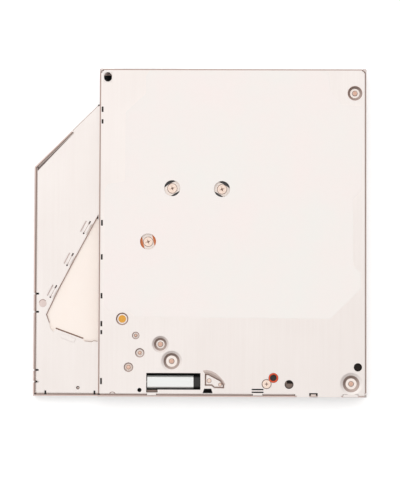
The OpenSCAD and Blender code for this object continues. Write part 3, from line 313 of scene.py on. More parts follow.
@dataclass(frozen=True)
class Finish:
    """One finish: its colours, its gloss, and how its surface breaks them up."""

    name: str
    light: tuple[int, int, int]
    dark: tuple[int, int, int]
    surface: Surface = Surface.MOULDED
    metallic: float = 0.0
    gloss: tuple[float, float] = (0.4, 0.55)
    bump: float = 0.12
    depth: float = 0.00002
    effect: tuple[float, float] | None = None
    smudge: float = 0.12
    worn: tuple[int, int, int] | None = None
    coat: float = 0.0
    sheen: float = 0.0
    edge: float = 0.0
    # painted shade: a darker colour on faces that look up, such as the cover's inner floor and the
    # tops of its walls
    rim: tuple[int, int, int] | None = None
    # painted shade: a darker colour laid on sloped faces, where shade falls
    bend: tuple[int, int, int] | None = None
    centre: Point = (0.0, 0.0, 0.0)

    def material(self) -> bpy.types.Material:
        """Builds the finish's material, or gives the one that was built before.

        Returns:
            A material with procedural nodes that read Object coordinates.
        """
        found = bpy.data.materials.get(self.name)
        if found:
            return found
        made = bpy.data.materials.new(self.name)
        t = fresh_tree(made)
        place = t.add("Mapping", {"Vector": t.add("TexCoord").outputs["Object"],
                                  "Location": [-c for c in self.centre]}).outputs[0]
        tone, height = self.broken_up(t, place)
        wear = self.group_node(t, EFFECTS.wear(), place)
        colour = t.mix(tone, linear(self.dark), linear(self.light))
        rubbed = t.span(wear.outputs["Tone"], 0.0, 1.0, 0.0, self.smudge)
        colour = t.mix(rubbed, colour, linear(self.worn or self.dark))
        # painted shade, mixed in on faces that look up or on slopes
        if self.rim or self.bend:
            colour = t.mix(self.slope_mask(t), colour, linear(self.rim or self.bend))
        gloss = t.span(tone, 0.2, 0.8, self.gloss[1], self.gloss[0])
        dulled = t.sum_of("MULTIPLY", wear.outputs["Tone"], self.smudge * 0.4)
        gloss = t.sum_of("ADD", gloss, dulled)
        values = {"Base Color": colour, "Roughness": gloss, "Metallic": self.metallic}
        if self.coat:
            values |= {"Coat Weight": self.coat, "Coat Roughness": 0.12}
        if self.sheen:
            values |= {"Sheen Weight": self.sheen, "Sheen Roughness": 0.5}
        if self.surface is Surface.GLASS:
            values |= {"Transmission Weight": 0.85, "IOR": 1.52, "Coat Weight": 1.0}
        shader = t.add("BsdfPrincipled", values)
        bump = t.add("Bump", {"Height": height, "Strength": self.bump, "Distance": self.depth})
        if self.edge:
            round_off = t.add("Bevel", {"Radius": self.edge}, samples=4)
            t.tree.links.new(round_off.outputs[0], bump.inputs["Normal"])
        t.tree.links.new(bump.outputs[0], shader.inputs["Normal"])
        t.add("OutputMaterial", {"Surface": shader.outputs[0]})
        made.diffuse_color = linear(self.light)
        return made

    def slope_mask(self, t: NodeTree) -> bpy.types.NodeSocket:
        """Where painted shade shows: the rim colour on faces that look up, or the darker slope
        colour on slopes.

        Args:
            t: the material's tree.

        Returns:
            A value, 1 where the second colour covers the first.
        """
        upward = t.add("SeparateXYZ", {0: t.add("TexCoord").outputs["Normal"]}).outputs[2]
        if not self.bend:
            return t.span(upward, 0.6, 0.9, 0.0, 1.0)
        return t.sum_of("MULTIPLY", t.span(upward, 0.84, 0.96, 1.0, 0.0),
                        t.span(upward, 0.1, 0.3, 0.0, 1.0))

    def group_node(self, t: NodeTree, group: bpy.types.ShaderNodeTree, place,
                   numbers: tuple[float, float] | None = None) -> bpy.types.Node:
        """Places a shared effect in the material.

        Args:
            t: the material's tree.
            group: the effect's node group.
            place: the coordinates it reads.
            numbers: the effect's first two numbers, where they differ from its own.

        Returns:
            The group's node, with Tone and Height outputs.
        """
        return t.add("Group", {"Vector": place} | dict(enumerate(numbers or (), start=1)),
                     node_tree=group)

    def broken_up(self, t: NodeTree, place) -> tuple:
        """The tone and height that this finish's kind of surface gives.

        Args:
            t: the material's tree.
            place: the coordinates the surface reads.

        Returns:
            The tone, 0 for dark to 1 for light, and the height for a bump.
        """
        build, usual = {
            Surface.BRUSHED: (EFFECTS.grain, None), Surface.MOULDED: (EFFECTS.skin, None),
            Surface.GLASS: (EFFECTS.skin, None), Surface.TURNED: (EFFECTS.turning, None),
            Surface.WOUND: (EFFECTS.grain, (300.0, 9000.0)), Surface.FIBRE: (EFFECTS.fibres, None),
            Surface.PAPER: (EFFECTS.fibres, (5200.0, 1900.0)),
            Surface.BOARD: (EFFECTS.traces, (900.0, 110.0)),
            Surface.FILM: (EFFECTS.traces, (1100.0, 20.0))}[self.surface]
        node = self.group_node(t, build(), place, self.effect or usual)
        return node.outputs["Tone"], node.outputs["Height"]


def tinted(finish: Finish, name: str, **changes) -> Finish:
    """A finish like another with some values changed.

    Args:
        finish: the finish to start from.
        name: the new finish's name.
        changes: the fields that differ.

    Returns:
        The new finish.
    """
    return replace(finish, name=name, **changes)


# The base sheet's darker slope colour is painted shade on its dish and recess slopes.
BASE_STEEL = Finish("rolled base sheet", (255, 248, 244), (247, 238, 233), Surface.BRUSHED,
                    metallic=0.85, gloss=(0.30, 0.40), bump=0.10, effect=(4200.0, 55.0),
                    smudge=0.06, worn=(238, 226, 220), edge=0.00012,
                    bend=(196, 168, 158))
# The cover's rim colour is painted shade on its inner floor and wall tops, which face up.
COVER_STEEL = tinted(BASE_STEEL, "rolled cover sheet", light=(242, 234, 231), dark=(222, 212, 208),
                     effect=(60.0, 3800.0), rim=(226, 206, 199), bend=None)
SMALL_STEEL = Finish("plated small steel", (226, 223, 220), (196, 192, 189), Surface.BRUSHED,
                     metallic=0.85, gloss=(0.24, 0.38), bump=0.12, effect=(2400.0, 900.0),
                     edge=0.00006)
TURNED_STEEL = tinted(SMALL_STEEL, "turned steel", surface=Surface.TURNED, effect=(26000.0, 0.3))
LABEL = Finish("bare label paper", (249, 240, 237), (245, 235, 232), Surface.PAPER,
               gloss=(0.55, 0.7), bump=0.05, smudge=0.9, worn=(242, 240, 236))
FELT = Finish("pressed felt", (58, 55, 54), (22, 21, 21), Surface.FIBRE, gloss=(0.85, 0.98),
              bump=0.5, depth=0.00008, sheen=0.5, smudge=0.05)
BLACK_PLASTIC = Finish("black moulding", (42, 41, 41), (26, 25, 25), gloss=(0.38, 0.52),
                       worn=(70, 68, 66), edge=0.00008)
BOARD = Finish("green solder mask", (54, 112, 66), (24, 74, 42), Surface.BOARD, gloss=(0.22, 0.34),
               bump=0.2, depth=0.00003, coat=0.4, smudge=0.05)
CHIP = Finish("chip moulding", (52, 51, 50), (34, 33, 33), gloss=(0.5, 0.62), bump=0.2,
              effect=(6500.0, 300.0), edge=0.00008)
CONNECTOR = Finish("connector moulding", (50, 48, 46), (32, 31, 30), gloss=(0.35, 0.5),
                   edge=0.0001)
CONTACT = Finish("gilt contacts", (238, 205, 120), (205, 160, 72), Surface.BRUSHED, metallic=0.95,
                 gloss=(0.18, 0.3), effect=(2600.0, 2600.0), worn=(170, 128, 60))
MOTOR_CAN = Finish("motor can plating", (248, 249, 247), (236, 237, 235), Surface.BRUSHED,
                   metallic=0.6, gloss=(0.26, 0.34), bump=0.03, effect=(90.0, 2600.0),
                   smudge=0.03, edge=0.00015)
GEAR_PLASTIC = Finish("gear resin", (236, 232, 226), (216, 210, 202), gloss=(0.36, 0.5),
                      bump=0.08, worn=(196, 186, 174), edge=0.00005)
BRASS = Finish("bush brass", (246, 190, 92), (214, 146, 58), Surface.TURNED, metallic=0.75,
               gloss=(0.22, 0.36), effect=(22000.0, 0.4), worn=(176, 112, 52))
LEVER_CREAM = Finish("cream lever coat", (255, 247, 240), (254, 240, 231), gloss=(0.42, 0.52),
                     bump=0.04, smudge=0.06, worn=(244, 226, 214), edge=0.0001)
ROLLER = Finish("roller resin", (236, 234, 228), (214, 210, 202), gloss=(0.34, 0.48))
FRAME_METAL = Finish("cast frame", (92, 91, 92), (66, 65, 66), Surface.MOULDED, metallic=0.4,
                     gloss=(0.42, 0.56), bump=0.22, effect=(4200.0, 240.0), worn=(120, 118, 116),
                     edge=0.0001)
RUBBER = Finish("orange damper rubber", (255, 104, 66), (240, 78, 44), gloss=(0.55, 0.7),
                bump=0.12, worn=(240, 140, 96))
PAD_RUBBER = Finish("black pad rubber", (34, 33, 33), (20, 20, 20), gloss=(0.6, 0.78), bump=0.2)
FLEX = Finish("amber flex film", (250, 158, 62), (214, 112, 40), Surface.FILM, gloss=(0.2, 0.32),
              bump=0.15, coat=0.5)
WINDING = Finish("enamelled winding", (200, 106, 52), (138, 62, 26), Surface.WOUND, metallic=0.7,
                 gloss=(0.2, 0.34), bump=0.5, depth=0.00006)
MAGNET = Finish("ground magnet", (110, 109, 110), (78, 77, 78), metallic=0.6, gloss=(0.32, 0.46),
                bump=0.18, effect=(5200.0, 260.0))
ALLOY = Finish("pickup die casting", (186, 184, 180), (152, 150, 147), metallic=0.7,
               gloss=(0.36, 0.5), bump=0.2, effect=(3800.0, 240.0), edge=0.0001)
LENS = Finish("coated lens", (226, 214, 240), (204, 196, 232), Surface.GLASS, gloss=(0.02, 0.05),
              bump=0.02)
SOLDER = Finish("bright solder", (206, 206, 204), (170, 170, 170), metallic=0.9,
                gloss=(0.2, 0.34), effect=(2600.0, 400.0))
CERAMIC = Finish("capacitor ceramic", (188, 150, 112), (150, 112, 78), gloss=(0.36, 0.5))
RESISTOR = Finish("resistor body", (40, 40, 46), (24, 24, 28), gloss=(0.28, 0.42))
SPRING_WIRE = Finish("spring wire", (190, 190, 188), (146, 146, 146), Surface.BRUSHED,
                     metallic=0.95, gloss=(0.2, 0.32), effect=(2600.0, 2600.0))
# painted shadow: near black, put in gaps, slots, holes and slits that lie in shade
SHADOW_GAP = Finish("painted shadow gap", (44, 32, 29), (26, 19, 17), gloss=(0.6, 0.8))
# painted shade: brown rings, crosses and slits that stand for the shade round heads, in screw
# recesses and in slits
RING_SHADE = Finish("painted ring shade", (150, 118, 104), (120, 90, 78), gloss=(0.5, 0.7))
RIVET = Finish("copper washed rivet", (246, 210, 190), (224, 178, 157), Surface.TURNED,
               metallic=0.5, gloss=(0.26, 0.38), effect=(24000.0, 0.3))
# painted shade: a brown-grey that stands for the shade in seams, along edges and round outlines;
# its copies below share it
GAP_SHADE = Finish("painted gap shade", (176, 147, 137), (146, 120, 110), gloss=(0.6, 0.75))
# painted shade: a darker steel on the dish slopes, where shade falls
DISH_SLOPE_SHADE = Finish("painted dish slope shade", (212, 193, 184), (188, 168, 159), Surface.BRUSHED,
                    metallic=0.8, gloss=(0.26, 0.36), bump=0.06, effect=(900.0, 900.0))
WARM_STEEL = Finish("warm plated head", (255, 238, 224), (246, 218, 202), Surface.TURNED,
                    metallic=0.35, gloss=(0.3, 0.42), effect=(24000.0, 0.3))
# painted light: the bracket sheet made near white and nearly non-metallic so it stays bright deep
# in shade; the washers in the dishes share it
LIT_BRACKET_STEEL = Finish("bracket sheet with painted light", (255, 247, 240), (250, 236, 228), Surface.BRUSHED,
                   metallic=0.05, gloss=(0.4, 0.52), effect=(2400.0, 600.0))

FLEX_SOCKET = tinted(CONNECTOR, "flex socket", light=(226, 218, 198), dark=(200, 190, 168))
WORM_STEEL = tinted(TURNED_STEEL, "worm steel", gloss=(0.18, 0.3))
WARM_GEAR = tinted(GEAR_PLASTIC, "gear resin, warm", light=(240, 234, 222), dark=(220, 212, 198))
BUSH_BRASS = tinted(BRASS, "bush brass, centred", centre=(-0.02955, -0.03335, 0))
GROUND_STEEL = tinted(SMALL_STEEL, "ground rail", gloss=(0.12, 0.2))
CLAW_RESIN = tinted(ROLLER, "claw resin", light=(246, 244, 240), dark=(226, 222, 216))
LAMINATIONS = tinted(MAGNET, "stacked laminations", surface=Surface.BRUSHED,
                     effect=(400.0, 400.0))
# painted shade: grey-brown fills that stand for the dim insides of holes
HOLE_SHADE = tinted(GAP_SHADE, "painted hole shade", light=(150, 132, 123), dark=(120, 102, 94))
BOSS = tinted(BASE_STEEL, "pressed boss", edge=0.0, light=(238, 220, 214), dark=(222, 202, 196))
TAB = tinted(BASE_STEEL, "pressed tab", edge=0.0, light=(238, 222, 214), dark=(220, 202, 194))
RECESS_SLOPE = tinted(DISH_SLOPE_SHADE, "shaded recess slope", light=(196, 176, 168),
                      dark=(168, 149, 141))
RECESS_SHADE = tinted(GAP_SHADE, "recess_slope shade", light=(212, 196, 189), dark=(196, 179, 172))
RECESS_FOOT = tinted(GAP_SHADE, "recess_slope_foot shade", light=(184, 168, 161),
                     dark=(168, 151, 144))


@dataclass
class SubAssembly:
    """A group of pieces that is modelled and dressed together."""

    body: str = "chassis"
    made: list[str] = field(default_factory=list)

    def dress(self, finishes: dict[Finish, str]) -> None:
        """Gives CAD nodes their finishes.

        Args:
            finishes: each finish, with the names of the nodes that take it.
        """
        for finish, names in finishes.items():
            for name in names.split():
                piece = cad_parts[name]
                piece.data.materials.clear()
                piece.data.materials.append(finish.material())
                self.made.append(name)

    def keep(self, name: str, bench: "Bench", finish: Finish, slot: str,
             body: str | None = None, smooth: bool = False) -> bpy.types.Object:
        """Turns what lies on a bench into a piece that rides on a body.

        Args:
            name: the piece's name.
            bench: its shape, already in place. The bench's mesh is freed.
            finish: the finish it takes.
            slot: the record's material slot that the finish stands for; not used.
            body: the CAD body it rides on, or this sub-assembly's own.
            smooth: True for a piece with no flat sides.

        Returns:
            The new object, at the origin.
        """
        mesh = bench.mesh
        bmesh.ops.remove_doubles(mesh, verts=mesh.verts, dist=1e-7)
        bmesh.ops.recalc_face_normals(mesh, faces=mesh.faces)
        data = bpy.data.meshes.new(name)
        mesh.to_mesh(data)
        mesh.free()
        for face in data.polygons:
            face.use_smooth = smooth
        data.materials.append(finish.material())
        piece = placed(name, data)
        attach(piece, body or self.body)
        self.made.append(name)
        return piece

    def report(self) -> None:
        """Logs each piece of the sub-assembly."""
        log.info("%s: %s", type(self).__name__, ", ".join(self.made))


class Bench:
    """The bench where one piece is shaped: a bmesh, and tools that add to it in millimetres."""

    def __init__(self, place: Matrix | None = None) -> None:
        """Starts an empty piece whose parts are set down by a place, such as the traverse's."""
        self.mesh = bmesh.new()
        self.place = (place or Matrix()) @ Matrix.Scale(MM, 4)

    def join(self, part: bmesh.types.BMesh, at: Matrix | None = None) -> None:
        """Moves a part to its place, adds it to the piece, and frees it."""
        part.transform(self.place @ (at or Matrix()))
        data = bpy.data.meshes.new("part")
        part.to_mesh(data)
        part.free()
        self.mesh.from_mesh(data)
        bpy.data.meshes.remove(data)

    def soften(self, part: bmesh.types.BMesh, edge: float, steps: int = 2) -> None:
        """Bevels a part's sharp edges by an amount in millimetres."""
        sharp = [e for e in part.edges if e.is_manifold and e.calc_face_angle() > 0.5]
        bmesh.ops.bevel(part, geom=sharp, offset=edge, affect="EDGES", segments=steps,
                        profile=0.5, material=-1)

    def block(self, low: Point, high: Point, edge: float = 0.0, at: Matrix | None = None,
              steps: int = 2) -> None:
        """Adds a box between two corners, with its edges rounded off by edge."""
        part = bmesh.new()
        size = [b - a for a, b in zip(low, high)]
        middle = [(a + b) / 2 for a, b in zip(low, high)]
        bmesh.ops.create_cube(part, size=1.0,
                              matrix=Matrix.Translation(middle) @ Matrix.Diagonal((*size, 1)))
        if edge:
            self.soften(part, edge, steps)
        self.join(part, at)

    def rod(self, start: Point, end: Point, radius: float, far: float | None = None,
            sides: int = 24, edge: float = 0.0, at: Matrix | None = None) -> None:
        """Adds a round rod or cone between two points."""
        part = bmesh.new()
        a, b = Vector(start), Vector(end)
        turn = (b - a).to_track_quat("Z", "Y").to_matrix().to_4x4()
        bmesh.ops.create_cone(part, cap_ends=True, segments=sides, radius1=radius,
                              radius2=radius if far is None else far, depth=(b - a).length,
                              matrix=Matrix.Translation((a + b) / 2) @ turn)
        if edge:
            self.soften(part, edge, 1)
        self.join(part, at)

    def turned(self, profile: list[Spot], sides: int = 48,
               at: Matrix | None = None, closed: bool = True) -> None:
        """Adds a piece turned round Z from its radius and height points."""
        part = bmesh.new()
        points = [part.verts.new((r, 0, z)) for r, z in profile]
        pairs = list(zip(points, points[1:]))
        if closed:
            pairs.append((points[-1], points[0]))
        edges = [part.edges.new(pair) for pair in pairs]
        bmesh.ops.spin(part, geom=points + edges, cent=(0, 0, 0), axis=(0, 0, 1), dvec=(0, 0, 0),
                       angle=2 * math.pi, steps=sides, use_merge=True, use_duplicate=False)
        bmesh.ops.remove_doubles(part, verts=part.verts, dist=1e-5)
        self.join(part, at)

    def plate(self, outline: list[Spot], z0: float, z1: float, edge: float = 0.0,
              at: Matrix | None = None, inset: float = 0.0) -> None:
        """Adds a flat plate of an outline, drawn in by inset, between two heights."""
        part = bmesh.new()
        face = part.faces.new([part.verts.new((x, y, z0)) for x, y in outline])
        if inset:
            part.normal_update()
            rim = bmesh.ops.inset_region(part, faces=[face], thickness=inset, use_boundary=True,
                                         use_even_offset=True)["faces"]
            bmesh.ops.delete(part, geom=rim, context="FACES")
        grown = bmesh.ops.extrude_face_region(part, geom=list(part.faces))["geom"]
        bmesh.ops.translate(part, vec=(0, 0, z1 - z0),
                            verts=[g for g in grown if isinstance(g, bmesh.types.BMVert)])
        if edge:
            self.soften(part, edge, 1)
        self.join(part, at)

    def band(self, inner: float, outer: float, z0: float, z1: float, sides: int = 40,
             at: Matrix | None = None, taper: Spot = (0.01, 0.01)) -> None:
        """Adds a flat ring, whose top is narrower by the taper at its inner and outer edge."""
        self.turned([(inner, z0), (outer, z0), (outer - taper[1], z1), (inner + taper[0], z1)],
                    sides, at)

    def cross(self, half: float, thick: float, z0: float, z1: float, at: Matrix) -> None:
        """Adds a screw's cross, given by half its reach and half its stroke."""
        for turn in (0, 90):
            self.block((-half, -thick, z0), (half, thick, z1), at=at @ about(0, 0, 0, turn))

    def line(self, points: list[Spot], width: float, z0: float, z1: float) -> None:
        """Adds a flat line of one width through points, between two heights."""
        for (ax, ay), (bx, by) in zip(points, points[1:]):
            half = math.hypot(bx - ax, by - ay) / 2 + width / 4
            turn = math.degrees(math.atan2(by - ay, bx - ax))
            self.block((-half, -width / 2, z0), (half, width / 2, z1),
                       at=about((ax + bx) / 2, (ay + by) / 2, 0, turn))

    def coil(self, radius: float, wire: float, height: float, turns: float,
             at: Matrix | None = None, per_turn: int = 20, sides: int = 8) -> None:
        """Adds a coil of round wire that climbs from z = 0 round Z."""
        part = bmesh.new()
        made = bmesh.ops.create_circle(part, cap_ends=True, radius=wire, segments=sides,
                                       matrix=Matrix.Translation((radius, 0, 0))
                                       @ Matrix.Rotation(math.pi / 2, 4, "X"))["verts"]
        geom = made + list(part.edges) + list(part.faces)
        steps = max(3, round(turns * per_turn))
        bmesh.ops.spin(part, geom=geom, cent=(0, 0, 0), axis=(0, 0, 1), angle=math.tau * turns,
                       dvec=(0, 0, height / steps), steps=steps, use_duplicate=False)
        bmesh.ops.recalc_face_normals(part, faces=part.faces)
        self.join(part, at)

    def clip(self, at: Point, radius: float, thick: float, turn: float = 0.0) -> None:
        """Adds a C-shaped retaining clip that lies flat round a post.

        Args:
            at: the middle of its lower face.
            radius: its outer radius.
            thick: its thickness.
            turn: the direction its gap faces, in degrees.
        """
        angles = [turn + 28 + 304 * k / 20 for k in range(21)]
        outline = [polar(radius, a) for a in angles]
        outline += [polar(0.58 * radius, a) for a in reversed(angles)]
        self.plate(outline, 0, thick, 0.0, Matrix.Translation(at))


def shifted(x: float, y: float) -> tuple[float, float]:
    """A point measured from the lid's front left corner, in the row frame's millimetres."""
    return (FRONT_LEFT[0] + x, FRONT_LEFT[1] + y)


def polar(reach: float, degrees: float) -> Spot:
    """A point at a distance and an angle from the middle."""
    angle = math.radians(degrees)
    return (reach * math.cos(angle), reach * math.sin(angle))


def sector(x: float, y: float, inner: float, outer: float, start: float, end: float,
           squash: float = 1.0) -> list[Spot]:
    """The outline of a part of a flat ring.

    Args:
        x: the ring's middle.
        y: the ring's middle.
        inner: its inner radius.
        outer: its outer radius.
        start: the angle it starts at, in degrees.
        end: the angle it ends at.
        squash: the height of the ring against its width.

    Returns:
        The outline's points, anticlockwise.
    """
    steps = max(4, round((end - start) / 6))
    angles = [start + (end - start) * k / steps for k in range(steps + 1)]
    flat = [polar(outer, a) for a in angles] + [polar(inner, a) for a in reversed(angles)]
    return [(x + u, y + squash * v) for u, v in flat]


def about(x: float, y: float, z: float = 0.0, turn: float = 0.0) -> Matrix:
    """A place at a point in millimetres, turned round Z by degrees."""
    return Matrix.Translation((x, y, z)) @ Matrix.Rotation(math.radians(turn), 4, "Z")


@dataclass
class Housing(SubAssembly):
    """The base sheet, the cover under it, the label, and the slot's felt."""

    slot_width: float = 122.0
    slot_low: float = 0.9
    slot_high: float = 3.9
    front: float = -63.05
    cover: float = 0.5

    def build(self) -> None:
        """Dresses the sheets and makes the felt."""
        self.dress({BASE_STEEL: "base_chassis", COVER_STEEL: "top_cover", LABEL: "label_sheet",
                    SMALL_STEEL: "cover_screws", WARM_STEEL: "front_screw",
                    BLACK_PLASTIC: "slot_guide"})
        self.felt()
        self.liner()

    def felt(self) -> None:
        """Two felt strips whose inner edges are cut into short fingers and ruffled."""
        bench = Bench()
        y0 = self.front + self.cover
        for low, high, lip in ((self.slot_low - 0.35, self.slot_low + 0.15, 1),
                               (self.slot_high - 0.15, self.slot_high + 0.35, -1)):
            part = bmesh.new()
            middle = (SPINDLE[0], y0 + 0.3, (low + high) / 2)
            bmesh.ops.create_cube(part, size=1.0, matrix=Matrix.Translation(middle)
                                  @ Matrix.Diagonal((self.slot_width, 0.6, high - low, 1)))
            long = [e for e in part.edges
                    if abs(e.verts[0].co.x - e.verts[1].co.x) > 1]
            bmesh.ops.subdivide_edges(part, edges=long, cuts=487, use_grid_fill=True)
            for v in part.verts:
                step = math.sin(v.co.x * 12.9898) * 43758.5453
                ruffle = step - math.floor(step)
                if (v.co.z - middle[2]) * lip > 0:
                    v.co.z -= lip * 0.09 * ruffle
                v.co.y -= 0.04 * ruffle if v.co.y < middle[1] else 0.0
            bench.join(part)
        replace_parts(self.keep("felt_strips", bench, FELT, "felt"), "felt_lips")

    def liner(self) -> None:
        """A thin black sheet on the cover's inner face, cut round the clamp's boss."""
        bench = Bench()
        (x, y), half = SPINDLE, 15.6
        low, high = 0.505, 0.575
        bench.plate([(-63.4, -61.9), (x - half, -61.9), (x - half, 61.6), (-38.0, 61.6),
                     (-38.0, 48.4), (-62.8, 23.8), (-63.4, 23.8)], low, high)
        bench.plate([(x + half, -61.9), (62.7, -61.9), (62.7, 61.6), (x + half, 61.6)], low, high)
        for y0, y1 in ((-61.9, y - half), (y + half, 61.6)):
            bench.plate([(x - half, y0), (x + half, y0), (x + half, y1), (x - half, y1)],
                        low, high)
        self.keep("bay_liner", bench, PAD_RUBBER, "felt")


@dataclass
class Seams(SubAssembly):
    """What closes the joint between the base sheet and the cover, and the sheet's corners."""

    left: float = -64.0
    right: float = 64.0
    step: float = -38.7
    half_depth: float = 63.05
    cap_wide: float = 0.84
    cap_long: float = 1.56
    cap_low: float = 4.9
    lip_y: Spot = (-62.12, -61.9)
    flange_y: Spot = (-62.5, -62.16)
    lip_x: Spot = (-63.07, -62.85)
    flange_x: Spot = (-63.45, -63.11)
    wing_lip_low: float = 4.8
    wing_flange: Spot = (4.72, 5.14)
    front_x: tuple[Spot, ...] = ((-38.0, -20.05), (-16.25, 20.35), (24.4, 36.55))
    turned_down_x: tuple[Spot, ...] = ((55.0, 60.75), (63.3, 63.7))
    wing_x: tuple[Spot, ...] = ((-62.7, -59.6), (-58.8, -40.7), (-39.9, -38.85))
    notch_y: tuple[Spot, ...] = ((-61.9, -57.95), (-57.15, -53.5), (-52.7, -31.1),
                                 (-30.3, -24.1), (-23.3, 25.2))

    def build(self) -> None:
        """Makes the lips, the flanges under them in painted gap shade, and the corner caps."""
        front, wing = FACE - 0.04, WING_FACE - 0.04
        lips, flanges = Bench(), Bench()
        wing_lip = (self.wing_lip_low, wing)
        for x, lip_z, flange_z in ([(x, (8.86, front), (8.78, 9.27)) for x in self.front_x]
                                   + [(x, wing_lip, self.wing_flange) for x in self.wing_x]):
            lips.block(*zip(x, self.lip_y, lip_z), 0.05, steps=1)
            flanges.block(*zip(x, self.flange_y, flange_z), 0.06, steps=1)
        for y in self.notch_y:
            lips.block(*zip(self.lip_x, y, wing_lip), 0.05, steps=1)
            flanges.block(*zip(self.flange_x, y, self.wing_flange), 0.06, steps=1)
        for x0, x1 in self.turned_down_x:
            lips.block((x0, -63.02, 8.86), (x1, -61.9, front), 0.1)
        chamfer = about(self.left, 25.3, 0, 44.54)
        lips.block((1.2, -1.17, 4.8), (19.8, -0.93, wing), 0.05, chamfer, 1)
        flanges.block((0.9, -0.88, 4.72), (19.8, -0.57, 5.05), 0.06, chamfer, 1)
        self.keep("seam_lips", lips, BASE_STEEL, "base_steel")
        # the flanges in painted gap shade, which stands for the dark seam
        self.keep("seam_flange_shades", flanges, GAP_SHADE, "base_steel")
        caps = Bench()
        out, back = self.right - 0.02, self.half_depth - 0.02
        near, far = self.cap_wide, self.cap_long
        corner = [(out - far, back - near), (out - near, back - near), (out - near, back - far),
                  (out, back - far), (out, back), (out - far, back)]
        caps.plate(corner, self.cap_low, front, 0.28)
        caps.plate([(self.step + self.right - x, y) for x, y in reversed(corner)], self.cap_low,
                   front, 0.28)
        caps.block((out - near, -self.half_depth + 0.02, 8.82), (out, -61.5, front), 0.2)
        self.keep("corner_caps", caps, BASE_STEEL, "base_steel")


